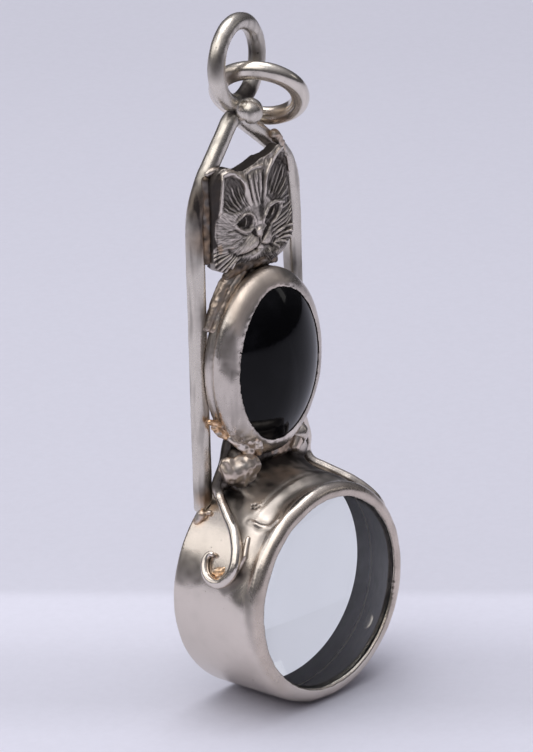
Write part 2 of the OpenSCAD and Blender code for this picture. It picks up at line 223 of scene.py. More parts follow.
# Reading and moving a piece's points
def points_of(piece):
    mesh = piece.data
    flat = np.empty(len(mesh.vertices) * 3)
    mesh.vertices.foreach_get("co", flat)
    return flat.reshape(-1, 3)


def normals_of(piece):
    mesh = piece.data
    flat = np.empty(len(mesh.vertices) * 3, np.float32)
    mesh.vertex_normals.foreach_get("vector", flat)
    return flat.reshape(-1, 3).astype(float)


def move_points(piece, points):
    piece.data.vertices.foreach_set("co", np.ascontiguousarray(points, np.float32).ravel())
    piece.data.update()


def push(piece, amount):
    """Moves each point along its normal by its own amount."""
    move_points(piece, points_of(piece) + normals_of(piece) * np.asarray(amount)[:, None])


def paint(piece, name, values):
    """Keeps a value from 0 to 1 for each point, for the materials to read."""
    layer = piece.data.attributes.get(name) or piece.data.attributes.new(name, "FLOAT", "POINT")
    layer.data.foreach_set("value", np.clip(values, 0, 1).astype(np.float32))


def dent_depth():
    """How deep the hand-worked dents go, in millimetres."""
    return sizes().dent * 1000


def bumps(points, size, seed):
    """Smooth noise from about -1 to 1, with lumps about size across."""
    scaled = (points / size + seed * 7.31).tolist()
    return np.array([noise.noise(place) for place in scaled])


def mean_of_neighbours(piece, values, repeats):
    """Averages each point's values with those of the points that it shares an edge with."""
    mesh = piece.data
    pairs = np.empty(len(mesh.edges) * 2, np.int32)
    mesh.edges.foreach_get("vertices", pairs)
    pairs = pairs.reshape(-1, 2)
    count = len(mesh.vertices)
    ends = np.concatenate([pairs[:, 0], pairs[:, 1]])
    others = np.concatenate([pairs[:, 1], pairs[:, 0]])
    degree = np.maximum(np.bincount(ends, minlength=count), 1)
    values = np.asarray(values, float)
    for step in range(repeats):
        columns = [np.bincount(ends, values[others, k], count) / degree for k in range(values.shape[1])]
        values = np.stack(columns, 1)
    return values


def hollows(piece, repeats):
    """How far each point lies below the smoothed surface round it, in millimetres."""
    points = points_of(piece)
    smoothed = mean_of_neighbours(piece, points, repeats)
    return ((smoothed - points) * normals_of(piece)).sum(1)


def sunk(piece, repeats):
    """How far each point lies in a hollow, and 0 where it stands proud."""
    return np.maximum(hollows(piece, repeats), 0)


def ramp(values, low, high):
    """0 below low, 1 above high and a soft step between."""
    t = np.clip((values - low) / (high - low), 0, 1)
    return t * t * (3 - 2 * t)


def near(points, place, radius):
    """1 at a place, falling softly to 0 at the radius."""
    away = np.linalg.norm(points - np.asarray(place, float), axis=1)
    return 1 - ramp(away, 0.0, radius)


def bell(flat, place, radius):
    """A soft round spot on flat places, 1 in its middle and a third of that at its radius."""
    return np.exp(-((np.linalg.norm(flat - np.asarray(place), axis=1) / radius) ** 2))


def spots(points, rows):
    """Adds up soft round spots, each an x, y, z, radius and strength."""
    total = np.zeros(len(points))
    for x, y, z, radius, strength in rows:
        total += strength * near(points, (x, y, z), radius)
    return total


def distance_to_path(flat, path):
    """Distance of each flat point to a line of points, and how far along the line, from 0 to 1."""
    path = np.asarray(path, float)
    best = np.full(len(flat), 1e9)
    along = np.zeros(len(flat))
    lengths = np.linalg.norm(np.diff(path, axis=0), axis=1)
    total = lengths.sum()
    done = 0.0
    for start, end, length in zip(path[:-1], path[1:], lengths):
        step = end - start
        t = np.clip(((flat - start) @ step) / (length * length), 0, 1)
        away = np.linalg.norm(flat - start - t[:, None] * step, axis=1)
        closer = away < best
        along = np.where(closer, (done + t * length) / total, along)
        best = np.where(closer, away, best)
        done += length
    return best, along


def inside(flat, corners, edge):
    """1 inside a flat outline, 0 outside it, with a soft edge."""
    corners = np.asarray(corners, float)
    closed = np.vstack([corners, corners[:1]])
    away, along = distance_to_path(flat, closed)
    within = np.zeros(len(flat), bool)
    for (ax, ay), (bx, by) in zip(closed[:-1], closed[1:]):
        crosses = (ay > flat[:, 1]) != (by > flat[:, 1])
        rise = (flat[:, 1] - ay) / (by - ay if by != ay else 1e-9)
        within ^= crosses & (flat[:, 0] < ax + rise * (bx - ax))
    return ramp(np.where(within, away, -away), -edge, edge)


def band_places(points):
    """Places on the drum: millimetres round from the top towards the left, and depth from the front."""
    angle = np.arctan2(-points[:, 0], points[:, 2] - DRUM_RADIUS)
    return np.stack([angle * DRUM_RADIUS, points[:, 1] - DRUM_FRONT], 1)


def on_drum(angle, depth, out=DRUM_RADIUS):
    """The place at an angle round the drum from its top, a depth from its front and so far from its axis."""
    turn = np.radians(angle)
    return (-out * np.sin(turn), DRUM_FRONT + depth, DRUM_RADIUS + out * np.cos(turn))


def degrees_round(pairs):
    """Turns (degrees, depth) pairs on the drum into (millimetres, depth) pairs."""
    return [(np.radians(angle) * DRUM_RADIUS, depth) for angle, depth in pairs]


def line_of_sight():
    """The unit direction from the object towards the camera."""
    return direction(np.degrees(sizes().azimuth), np.degrees(sizes().elevation))


def direction(around, above):
    """The direction at an angle round the object, 0 in front, and an angle above the floor, in degrees."""
    around = np.radians(around)
    above = np.radians(above)
    return Vector((np.sin(around) * np.cos(above), -np.cos(around) * np.cos(above), np.sin(above)))


def seen_on_plane(points, plane):
    """Slides points along the camera's line of sight onto an upright plane, and gives their x and z there."""
    back = line_of_sight()
    slide = (plane - points[:, 1]) / back.y
    return np.stack([points[:, 0] + slide * back.x, points[:, 2] + slide * back.z], 1)


def strokes(flat, lines):
    """Adds up rounded strokes, each a width, a height and a line of points."""
    total = np.zeros(len(flat))
    for width, height, path in lines:
        away, along = distance_to_path(flat, path)
        fade = ramp(along, -0.02, 0.12) * ramp(-along, -1.02, -0.88)
        total += height * np.exp(-((away / width) ** 2)) * (0.45 + 0.55 * fade)
    return total


def hairs(flat, centre, spacing, seed):
    """Fine lines that fan out from a centre, from -1 to 1."""
    away = flat - np.asarray(centre)
    reach = np.hypot(away[:, 0], away[:, 1])
    turn = np.arctan2(away[:, 1], away[:, 0])
    middle = np.median(reach)
    lanes = np.stack([turn * middle / spacing, reach / (spacing * 6), np.full(len(flat), seed * 3.7)], 1)
    broad = np.array([noise.noise(place) for place in lanes.tolist()])
    lanes[:, 0] *= 2.1
    lanes[:, 2] += 11.0
    fine = np.array([noise.noise(place) for place in lanes.tolist()])
    return np.clip(1.6 * broad + 0.8 * fine, -1, 1)


def lumps(name, balls, cell):
    """One lump of metal melted together from balls, each x, y, z and a radius."""
    deselect()
    made = []
    for x, y, z, radius in balls:
        bpy.ops.mesh.primitive_ico_sphere_add(subdivisions=3, radius=radius, location=(x, y, z))
        made.append(bpy.context.object)
    for ball in made:
        ball.select_set(True)
    bpy.context.view_layer.objects.active = made[0]
    bpy.ops.object.join()
    piece = bpy.context.object
    piece.name = name
    bpy.ops.object.transform_apply(location=True, rotation=True, scale=True)
    remesh(piece, cell)
    soften(piece, 3)
    return piece


# Materials
def add_node(tree, kind, **values):
    node = tree.nodes.new(kind)
    for name, value in values.items():
        setattr(node, name, value)
    return node


def mix_colours(tree, amount, first, second):
    node = add_node(tree, "ShaderNodeMix", data_type="RGBA")
    for socket, value in ((node.inputs[0], amount), (node.inputs[6], first), (node.inputs[7], second)):
        join(tree, value, socket)
    return node.outputs[2]


def new_material(name):
    """A new material, with its node tree and its shader."""
    material = bpy.data.materials.new(name)
    material.use_nodes = True
    return material, material.node_tree, material.node_tree.nodes["Principled BSDF"]


def set_inputs(node, values):
    """Sets plain values on a node's named inputs."""
    for name, value in values.items():
        node.inputs[name].default_value = value


def object_place(tree):
    """The socket that gives a place in the object's own coordinates, in metres."""
    return add_node(tree, "ShaderNodeTexCoord").outputs["Object"]


def painted(tree, name):
    """The socket that reads a value painted on the piece's points."""
    return add_node(tree, "ShaderNodeAttribute", attribute_name=name).outputs["Fac"]


def maths(tree, operation, first, second=0.0, clamp=False):
    node = add_node(tree, "ShaderNodeMath", operation=operation, use_clamp=clamp)
    join(tree, first, node.inputs[0])
    join(tree, second, node.inputs[1])
    return node.outputs[0]


def join(tree, value, socket):
    """Links a socket, or sets a plain value on one."""
    if isinstance(value, bpy.types.NodeSocket):
        tree.links.new(value, socket)
    elif hasattr(value, "__len__"):
        socket.default_value = tuple(value)[:3] + (1.0,)
    else:
        socket.default_value = value


def noise_texture(tree, place, scale, detail=3.0, roughness=0.6):
    node = add_node(tree, "ShaderNodeTexNoise")
    set_inputs(node, {"Scale": scale, "Detail": detail, "Roughness": roughness})
    tree.links.new(place, node.inputs["Vector"])
    return node.outputs["Fac"]


def spread(tree, value, low, high, to_low=0.0, to_high=1.0):
    node = add_node(tree, "ShaderNodeMapRange", interpolation_type="SMOOTHSTEP")
    for socket, number in zip(node.inputs[1:5], (low, high, to_low, to_high)):
        socket.default_value = number
    tree.links.new(value, node.inputs[0])
    return node.outputs[0]


def hairlines(tree, place, stretch, turn, low, high):
    """Thin scratches that run one way, from noise stretched along it."""
    lengthened = add_node(tree, "ShaderNodeMapping")
    set_inputs(lengthened, {"Scale": stretch, "Rotation": turn})
    tree.links.new(place, lengthened.inputs["Vector"])
    return spread(tree, noise_texture(tree, lengthened.outputs[0], 1.0, 2, 0.5), low, high)


# Scales of the worn metal's patterns, in turns of the noise for each metre
PATCH_SCALE = 420
GRAIN_SCALE = 5200
PIT_SCALE = 1900
# How much pits darken, how much grain and satin roughen, and how deep pits and grain are in the relief
PIT_DARKNESS = 0.35
GRAIN_ROUGHNESS = 0.16
SATIN_ROUGHNESS = 0.2
PIT_DEPTH = 1.5
GRAIN_DEPTH = 0.8


def worn_metal_group():
    """The worn metal that every silver part shares: patches of oxide, hairline scratches and small pits."""
    group = bpy.data.node_groups.new("Worn metal", "ShaderNodeTree")
    sockets = (
        ("Bright", "NodeSocketColor"),
        ("Dark", "NodeSocketColor"),
        ("Tarnish And Shade", "NodeSocketFloat"),
        ("Patches", "NodeSocketFloat"),
        ("Polished Roughness", "NodeSocketFloat"),
        ("Tarnished Roughness", "NodeSocketFloat"),
        ("Scratches", "NodeSocketFloat"),
        ("Satin", "NodeSocketFloat"),
    )
    for name, kind in sockets:
        group.interface.new_socket(name, in_out="INPUT", socket_type=kind)
    group.interface.new_socket("Color", in_out="OUTPUT", socket_type="NodeSocketColor")
    group.interface.new_socket("Roughness", in_out="OUTPUT", socket_type="NodeSocketFloat")
    group.interface.new_socket("Height", in_out="OUTPUT", socket_type="NodeSocketFloat")
    given = add_node(group, "NodeGroupInput").outputs
    made = add_node(group, "NodeGroupOutput").inputs
    place = object_place(group)
    patches = noise_texture(group, place, PATCH_SCALE, 6, 0.65)
    cloud = maths(group, "MULTIPLY", maths(group, "SUBTRACT", patches, 0.5), given["Patches"])
    amount = maths(group, "ADD", given["Tarnish And Shade"], cloud, True)
    grain = noise_texture(group, place, GRAIN_SCALE, 4, 0.7)
    upright = hairlines(group, place, (5200, 5200, 260), (0.35, 0.25, 0.0), 0.58, 0.72)
    crossing = hairlines(group, place, (300, 5200, 5200), (0.1, -0.5, 0.4), 0.62, 0.74)
    scratches = maths(group, "ADD", upright, crossing)
    pits = spread(group, noise_texture(group, place, PIT_SCALE, 2, 0.5), 0.20, 0.28, 1.0, 0.0)
    speckle = maths(group, "ADD", amount, maths(group, "MULTIPLY", pits, PIT_DARKNESS), True)
    group.links.new(mix_colours(group, speckle, given["Bright"], given["Dark"]), made["Color"])
    gloss = add_node(group, "ShaderNodeMix", data_type="FLOAT")
    group.links.new(speckle, gloss.inputs[0])
    group.links.new(given["Polished Roughness"], gloss.inputs[2])
    group.links.new(given["Tarnished Roughness"], gloss.inputs[3])
    rubbed = maths(group, "MULTIPLY", maths(group, "SUBTRACT", grain, 0.5), GRAIN_ROUGHNESS)
    satin = maths(group, "MULTIPLY", given["Satin"], SATIN_ROUGHNESS)
    worked = maths(group, "ADD", gloss.outputs[0], satin)
    group.links.new(maths(group, "ADD", worked, rubbed, True), made["Roughness"])
    cuts = maths(group, "MULTIPLY", scratches, given["Scratches"])
    cuts = maths(group, "ADD", cuts, maths(group, "MULTIPLY", pits, PIT_DEPTH))
    raised = maths(group, "SUBTRACT", maths(group, "MULTIPLY", grain, GRAIN_DEPTH), cuts)
    group.links.new(raised, made["Height"])
    return group


def silver(name, bright=None, patches=0.35, polished=0.22, tarnished=0.5, scratches=0.6, relief=0.000007):
    """A worn silver that reads the piece's painted tarnish and painted shade, its gold and painted warm
    light, and its satin. The relief is in metres.
    """
    material, tree, shader = new_material(name)
    group = bpy.data.node_groups.get("Worn metal") or worn_metal_group()
    worn = add_node(tree, "ShaderNodeGroup", node_tree=group)
    metal = mix_colours(tree, painted(tree, "gold_and_warm_light"), bright or colours().silver, colours().gold_and_warm_light)
    tree.links.new(metal, worn.inputs["Bright"])
    tree.links.new(painted(tree, "tarnish_and_shade"), worn.inputs["Tarnish And Shade"])
    tree.links.new(painted(tree, "satin"), worn.inputs["Satin"])
    set_inputs(worn, {
        "Dark": tuple(colours().tarnish_and_shade) + (1.0,),
        "Patches": patches,
        "Polished Roughness": polished,
        "Tarnished Roughness": tarnished,
        "Scratches": scratches,
    })
    tree.links.new(worn.outputs["Color"], shader.inputs["Base Color"])
    tree.links.new(worn.outputs["Roughness"], shader.inputs["Roughness"])
    bump = add_node(tree, "ShaderNodeBump")
    set_inputs(bump, {"Strength": 1.0, "Distance": relief})
    tree.links.new(worn.outputs["Height"], bump.inputs["Height"])
    tree.links.new(bump.outputs["Normal"], shader.inputs["Normal"])
    set_inputs(shader, {"Metallic": 1.0})
    return material


STONE_VEINS = (0.005, 0.005, 0.006)


def black_stone():
    """Polished black with faint grey veins."""
    material, tree, shader = new_material("Black stone")
    place = object_place(tree)
    veins = spread(tree, noise_texture(tree, place, 260, 5, 0.6), 0.45, 0.75)
    tree.links.new(mix_colours(tree, veins, colours().stone, STONE_VEINS), shader.inputs["Base Color"])
    rubbed = noise_texture(tree, place, 1400, 4, 0.6)
    tree.links.new(spread(tree, rubbed, 0.3, 0.8, 0.05, 0.13), shader.inputs["Roughness"])
    set_inputs(shader, {"IOR": 1.54, "Specular IOR Level": 0.14})
    return material


def lens_glass():
    """Clear glass with a trace of smears."""
    material, tree, shader = new_material("Lens glass")
    smears = noise_texture(tree, object_place(tree), 160, 5, 0.65)
    tree.links.new(spread(tree, smears, 0.5, 0.8, 0.0, 0.02), shader.inputs["Roughness"])
    glass = tuple(colours().glass) + (1.0,)
    set_inputs(shader, {"Base Color": glass, "Transmission Weight": 1.0, "IOR": 1.5})
    return material


# The paint's darker and paler tone
BLACKENED = ((0.026, 0.026, 0.030), (0.050, 0.049, 0.056))


def blackened_edge():
    """Matt black paint, a little streaky."""
    material, tree, shader = new_material("Blackened lens edge")
    streaks = spread(tree, noise_texture(tree, object_place(tree), 900, 4, 0.6), 0.3, 0.7)
    tree.links.new(mix_colours(tree, streaks, *BLACKENED), shader.inputs["Base Color"])
    set_inputs(shader, {"Roughness": 0.75, "Specular IOR Level": 0.06})
    return material


# The pieces
# Places on the drum as (degrees round from the top towards the left, millimetres back from the front)
CREASE = ((39.2, 5.1), (39.6, 3.6), (38.0, 2.3), (33.5, 1.9), (28.0, 2.3), (23.5, 3.6))
PITS = ((29.5, 5.9), (31.5, 5.5), (30.5, 6.3), (32.0, 6.0), (30.0, 5.3))
# The dark top: oxide, with a painted dark reflection of the neck and bezel in the dip by the neck
DARK_TOP = (
    (-78, 1.3), (-20, 1.5), (8, 2.2), (16, 4.0), (21, 7.5), (27, 9.5), (37, 13.2), (40, 13.9), (-78, 13.9),
)
GREY_SHOULDER = ((8, 1.9), (40, 2.5), (68, 3.0), (68, 3.8), (50, 4.4), (34, 8.5), (24, 9.5), (18, 6.0))
DARK_SHADE = ((20, 10.0), (46, 5.0), (49, 4.2), (49, 4.9), (30, 11.5), (30, 13.6), (22, 13.0))
DARK_WEDGE = ((-13, 4.5), (-30, 3.2), (-78, 2.4), (-78, 13.9), (-26, 13.9), (-15, 8.5))
# Painted shade in the gap beside the hook
HOOK_GAP_SHADE = ((64, 2.6), (66, 4.1), (72, 5.0), (76, 6.4), (79, 5.2), (74, 3.4), (66, 2.4))
DARK_PATCH = ((63, 13.9), (63, 10.6), (68, 9.2), (76, 9.2), (79.5, 11.5), (79.5, 13.9))
STREAK = ((76, 1.7), (84, 1.1), (94, 0.8), (106, 0.6))
GOLD_SPECK = (46, 12.6)
# Each dark area's strength, soft edge, kind of clouds and outline
DARK_AREAS = (
    (0.62, 1.3, "broken", DARK_TOP),
    (0.32, 0.9, "none", DARK_WEDGE),
    (0.38, 0.9, "broad", GREY_SHOULDER),
    (0.7, 0.8, "none", DARK_SHADE),
    (0.55, 0.35, "none", HOOK_GAP_SHADE),
    (0.52, 0.7, "patchy", DARK_PATCH),
)
# Lumps on top of the drum
NUGGET = (-5.8, -3.2, 31.0)
RIGHT_LUMP = (6.3, -2.5, 31.4)
RUBBED_LUMP = (5.5, -3.8, 32.4)
# Heights between which the lumps on top rise clear of the drum
CLEAR_OF_DRUM = (28.3, 29.2)
# The rolled bead at the front: its middle's distance from the axis, its depth and its wire's radius
BEAD_OUT = 13.13
BEAD_DEPTH = 1.19
BEAD_WIRE = 1.3
# Depths between which the bead runs into the band
VALLEY = (1.7, 4.8)


class PENDANT_OT_housing(bpy.types.Operator):
    """Shape the drum that holds the lens: an uneven rim, a creased dark top and lumps of melted silver"""

    bl_idname = "pendant.housing"
    bl_label = "Lens housing"

    def execute(self, context):
        piece = copy_of_node("lens_housing", "housing_skin")
        remesh(piece, 0.2)
        self.melt_rim_into_band(piece)
        remesh(piece, 0.2)
        soften(piece, 8)
        points = points_of(piece)
        flat = band_places(points)
        out = np.hypot(points[:, 0], points[:, 2] - DRUM_RADIUS)
        outside = ramp(out, 13.9, 14.5)
        above_drum = ramp(points[:, 2], *CLEAR_OF_DRUM)
        depth = dent_depth()
        amount = depth * bumps(points, 6.0, 1) + 0.35 * depth * bumps(points, 1.8, 2)
        rim = ramp(-flat[:, 1], -1.8, -0.6)
        amount += rim * 1.2 * depth * bumps(points, 2.6, 3)
        amount += outside * self.crease(flat)
        pitted = np.zeros(len(points))
        for place in degrees_round(PITS):
            pitted += bell(flat, place, 0.16)
        amount -= 0.16 * pitted * outside
        crumpled = near(points, NUGGET, 4.2) * above_drum
        amount += crumpled * (0.34 * np.abs(bumps(points, 1.3, 11)) + 0.22 * bumps(points, 0.7, 12) - 0.1)
        lumpy = near(points, RIGHT_LUMP, 4.0) * above_drum
        amount += lumpy * 0.08 * bumps(points, 1.2, 13)
        push(piece, amount)
        self.colour(piece, flat, outside, pitted, crumpled)
        metal = silver("Housing silver", patches=0.3)
        finish_piece(piece, "pendant", ["lens_housing"], "housing_silver", metal)
        return {"FINISHED"}

    def crease(self, flat):
        """A raised line where the top was folded, with a shallow trough on both sides."""
        away, along = distance_to_path(flat, degrees_round(CREASE))
        runs_out = ramp(-along, -1.0, -0.6)
        ridge = 0.20 * np.exp(-((away / 0.28) ** 2)) * ramp(along, 0.0, 0.15)
        trough = 0.10 * np.exp(-(((away - 0.55) / 0.35) ** 2))
        return (ridge - trough) * runs_out

    def melt_rim_into_band(self, piece):
        """Runs the rim into the band: a soft valley behind it above, and none at all low on the drum."""
        points = points_of(piece)
        flat = band_places(points)
        angle = np.abs(flat[:, 0]) / DRUM_RADIUS
        depth = flat[:, 1]
        x = points[:, 0]
        z = points[:, 2] - DRUM_RADIUS
        out = np.hypot(x, z)
        from_middle = np.clip(depth, 0.2, 1.8) - BEAD_DEPTH
        bead = BEAD_OUT + np.sqrt(np.maximum(BEAD_WIRE**2 - from_middle**2, 0))
        behind = ramp(depth, *VALLEY)
        sag = 0.10 + 0.25 * (1 - ramp(angle, np.radians(30), np.radians(62)))
        along = np.clip((depth - VALLEY[0]) / (VALLEY[1] - VALLEY[0]), 0, 1)
        above = bead + (DRUM_RADIUS - bead) * behind - sag * np.sin(np.pi * along)
        below = 13.6 + 1.2 * np.sqrt(np.clip(1 - ((2.4 - np.clip(depth, 0, 2.4)) / 2.5) ** 2, 0, 1))
        low = ramp(angle, np.radians(68), np.radians(92))
        wanted = above + (below - above) * low
        share = ramp(out, 13.35, 13.6) * ramp(-out, -15.1, -14.9)
        share *= ramp(depth, 0.4, 1.0) * ramp(-depth, -4.9, -4.5)
        lift = share * (wanted - out)
        points[:, 0] += lift * x / out
        points[:, 2] += lift * z / out
        move_points(piece, points)

    def colour(self, piece, flat, outside, pitted, crumpled):
        """Paints the oxide, the painted shade and a painted dark reflection on the top, and a painted pool of
        warm light on the drum.
        """
        points = points_of(piece)
        cloud = bumps(points, 2.5, 14)
        clouds = {
            "none": 0.0,
            "broad": cloud,
            "broken": 0.6 * cloud + 0.5 * bumps(points, 1.1, 29),
            "patchy": 0.8 * bumps(points, 1.2, 25),
        }
        dark = np.zeros(len(points))
        for strength, edge, kind, outline in DARK_AREAS:
            dark += strength * inside(flat, degrees_round(outline), edge) * (1 + clouds[kind])
        turn = flat[:, 0] / DRUM_RADIUS
        lit = np.exp(-(((np.degrees(turn) - 2) / 11) ** 2) - ((flat[:, 1] - 7.5) / 2.6) ** 2)
        dark -= 0.30 * lit
        streak, along = distance_to_path(flat, degrees_round(STREAK))
        dark += 0.55 * np.exp(-((streak / 0.6) ** 2)) * (1 - 0.8 * along)
        lip = ramp(-flat[:, 1], -1.0, -0.1) * ramp(-np.abs(turn), -2.7, -2.0)
        neck = ramp(points[:, 2], 29.3, 30.5) * (1 - crumpled)
        tarnish_and_shade = np.clip(dark, 0, 0.95) * outside + 0.6 * neck + 0.8 * pitted
        tarnish_and_shade += 0.20 * lip * (1 + 0.6 * bumps(points, 1.6, 26))
        tarnish_and_shade += 5 * sunk(piece, 16)
        tarnish_and_shade *= 1 - 0.9 * ramp(near(points, RUBBED_LUMP, 3.6), 0.0, 0.6)
        tarnish_and_shade *= 1 - 0.75 * crumpled
        tarnish_and_shade += crumpled * 9 * sunk(piece, 6)
        paint(piece, "tarnish_and_shade", tarnish_and_shade)
        gold_and_warm_light = bell(flat, degrees_round([GOLD_SPECK])[0], 0.8)
        # The gold speck, and the painted warm light of the lit spot on top
        paint(piece, "gold_and_warm_light", (0.8 * gold_and_warm_light + 0.35 * lit) * outside + 0.12 * lip)


LENS_SIDES = 192
LENS_RINGS = 24
# The black ring that shows through the glass, on the back face: its middle width, how much wider it is
# to the right, how much narrower upwards, and its least width
BLACK_WIDTH = 0.77
BLACK_WIDER_RIGHT = 1.3
BLACK_NARROWER_UP = 1.1
BLACK_LEAST = 0.12


class PENDANT_OT_lens(bpy.types.Operator):
    """Shape the thick lens: two polished domes on a blackened edge"""

    bl_idname = "pendant.lens"
    bl_label = "Lens"

    def execute(self, context):
        low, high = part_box("lens")
        low = TO_MM @ low
        high = TO_MM @ high
        middle = (low + high) / 2
        deselect()
        bpy.ops.mesh.primitive_cylinder_add(
            vertices=LENS_SIDES,
            radius=LENS_RADIUS,
            depth=LENS_EDGE,
            end_fill_type="NGON",
            location=middle,
            rotation=(np.pi / 2, 0, 0),
        )
        piece = bpy.context.object
        piece.name = "lens_glass"
        bpy.ops.object.transform_apply(location=True, rotation=True, scale=True)
        for side in (-1, 1):
            edit(piece)
            bpy.ops.mesh.select_mode(type="FACE")
            bpy.ops.mesh.select_all(action="DESELECT")
            leave_edit()
            for face in piece.data.polygons:
                face.select = face.normal.y * side > 0.9
            bpy.ops.object.mode_set(mode="EDIT")
            for ring in range(LENS_RINGS - 1):
                bpy.ops.mesh.inset(thickness=LENS_RADIUS / LENS_RINGS)
            bpy.ops.mesh.poke()
            leave_edit()
        points = points_of(piece)
        side = np.sign(points[:, 1] - middle.y)
        self.shift_rings(points, middle, side > 0)
        across = np.hypot(points[:, 0] - middle.x, points[:, 2] - middle.z)
        rise = np.sqrt(LENS_CURVE**2 - across**2) - np.sqrt(LENS_CURVE**2 - LENS_RADIUS**2)
        points[:, 1] = middle.y + side * (LENS_EDGE / 2 + np.maximum(rise, 0))
        move_points(piece, points)
        finish_piece(piece, "pendant", ["lens"], "lens_glass", lens_glass(), blackened_edge())
        for face in piece.data.polygons:
            right = face.center.x * 1000 - middle.x - FOOT.x * 1000
            up = face.center.z * 1000 - middle.z - FOOT.z * 1000
            on_back = face.normal.y > 0.3 and np.hypot(right, up) > self.clear_reach(right, up)
            face.material_index = 1 if abs(face.normal.y) < 0.3 or on_back else 0
        pick(piece)
        bpy.ops.object.shade_smooth_by_angle(angle=0.6)
        deselect()
        return {"FINISHED"}

    def clear_reach(self, right, up):
        """How far the clear glass of the back face reaches from the middle in a direction."""
        reach = np.hypot(right, up)
        black = BLACK_WIDTH + (BLACK_WIDER_RIGHT * right - BLACK_NARROWER_UP * up) / reach
        return LENS_RADIUS - np.maximum(black, BLACK_LEAST)

    def shift_rings(self, points, middle, back):
        """Slides the rings of the back face so that the second one runs along the edge of the clear glass."""
        right = points[:, 0] - middle.x
        up = points[:, 2] - middle.z
        reach = np.maximum(np.hypot(right, up), 1e-6)
        ring = LENS_RADIUS * (LENS_RINGS - 2) / LENS_RINGS
        clear = self.clear_reach(right, np.where(reach < 0.01, 1.0, up))
        outer = clear + (reach - ring) / (LENS_RADIUS - ring) * (LENS_RADIUS - clear)
        wanted = np.where(reach > ring - 0.01, outer, reach / ring * clear)
        grow = np.where(back & (reach < LENS_RADIUS - 0.01), wanted / reach, 1.0)
        points[:, 0] = middle.x + right * grow
        points[:, 2] = middle.z + up * grow


RAIL_X = 9.1
# Cells of the even grid that the silver is shaped on
SILVER_CELL = 0.14
CAST_CELL = 0.085
# Stains and traces of gold on the wires, each an x, y, z, radius and strength; one of the stains is a painted
# dark reflection on the ball
FRAME_STAINS_AND_REFLECTION = (
    (-2.0, 0.3, 76.6, 2.2, 0.75), (0.7, 0.0, 79.1, 3.0, 1.6), (-5.9, -1.9, 84.9, 1.8, 0.6),
    (-6.3, -1.8, 83.4, 1.9, 0.6), (3.4, 0.9, 84.1, 2.6, 0.55), (3.7, 0.5, 82.6, 2.6, 0.55),
    (-1.6, -3.2, 77.3, 0.7, 0.5), (-7.6, -0.8, 70.2, 2.0, 0.3), (-8.3, 0.0, 69.3, 2.4, 0.4),
    (-9.0, -0.3, 67.6, 2.6, 0.42), (-9.5, -0.6, 65.8, 2.6, 0.42), (-9.9, -0.7, 63.8, 2.4, 0.42),
    (-10.0, -0.6, 61.8, 2.2, 0.4), (-10.2, -0.3, 59.6, 2.2, 0.35), (-8.2, -0.9, 67.5, 2.6, 0.5),
    (-8.3, -1.0, 64.5, 3.0, 0.6), (-8.3, -0.9, 61.0, 2.6, 0.5), (-8.0, -0.8, 52.0, 3.0, 0.6),
    (8.4, -0.5, 54.0, 4.5, 0.6), (-9.1, -0.4, 28.2, 2.6, 0.7), (4.9, -0.4, 72.6, 2.6, 0.6),
)
FRAME_GOLD = (
    (-9.4, -0.8, 27.6, 1.8, 0.8), (4.6, -1.0, 73.2, 1.8, 0.5), (-8.3, -1.0, 66.5, 3.0, 0.6),
    (-8.3, -0.9, 62.0, 3.0, 0.6),
)


class PENDANT_OT_frame(bpy.types.Operator):
    """Shape the bent wire of the frame, its ball and its bail"""

    bl_idname = "pendant.frame"
    bl_label = "Wire frame"

    def execute(self, context):
        piece = fine_copy("wire_frame", "frame_skin", SILVER_CELL, 3)
        points = points_of(piece)
        depth = dent_depth()
        amount = 0.7 * depth * bumps(points, 3.0, 4) + 0.3 * depth * bumps(points, 1.1, 5)
        for side in (-1, 1):
            on_rail = ramp(-points[:, 2], -64, -60) * (points[:, 0] * side > 0)
            turn = np.arctan2(points[:, 1], points[:, 0] - side * RAIL_X)
            amount -= on_rail * 0.07 * np.cos(4 * turn + 0.6)
        push(piece, amount)
        points = points_of(piece)
        tarnish_and_shade = 6 * sunk(piece, 14)
        tarnish_and_shade += 0.30 * ramp(bumps(points * np.array((1.6, 1.6, 0.22)), 1.0, 27), -0.1, 0.6)
        # Stains, with a painted dark reflection on the ball
        tarnish_and_shade += spots(points, FRAME_STAINS_AND_REFLECTION)
        paint(piece, "tarnish_and_shade", tarnish_and_shade)
        paint(piece, "gold_and_warm_light", spots(points, FRAME_GOLD))
        metal = silver("Wire silver", bright=colours().wire, patches=0.45, polished=0.27)
        finish_piece(piece, "pendant", ["wire_frame"], "wire_silver", metal)
        return {"FINISHED"}


# The stone's oval, in x and z
STONE_MIDDLE = (0.0, 44.2)
STONE_HALF = (7.5, 9.75)
# Where the bezel's lower left is crumpled
LOW_LEFT = (-6.2, -3.5, 35.0)
# Places on the bezel as the camera sees them, slid onto a plane 5 mm in front of the rails
BEZEL_PLANE = -5.0
# Flats beaten into the bezel, each a depth, how dark it is, its soft edge and its outline
BEZEL_FACETS = (
    (0.22, 0.42, 0.6, (
        (-9.4, 50.4), (-7.6, 50.8), (-7.2, 48.0), (-7.3, 45.0), (-8.4, 44.3), (-10.2, 46.6), (-10.2, 48.8))),
    (0.16, 0.55, 0.4, ((0.6, 57.2), (3.4, 57.0), (3.8, 55.2), (2.0, 54.9))),
)
# The outline of the satin patch, on the same plane
BEZEL_SATIN = (
    (-8.4, 50.9), (-8.3, 54.5), (-6.1, 56.4), (-2.3, 57.6), (1.5, 56.6), (2.8, 54.2), (1.4, 54.0),
    (-0.7, 54.2), (-2.9, 53.3), (-5.2, 51.8), (-6.6, 49.7),
)
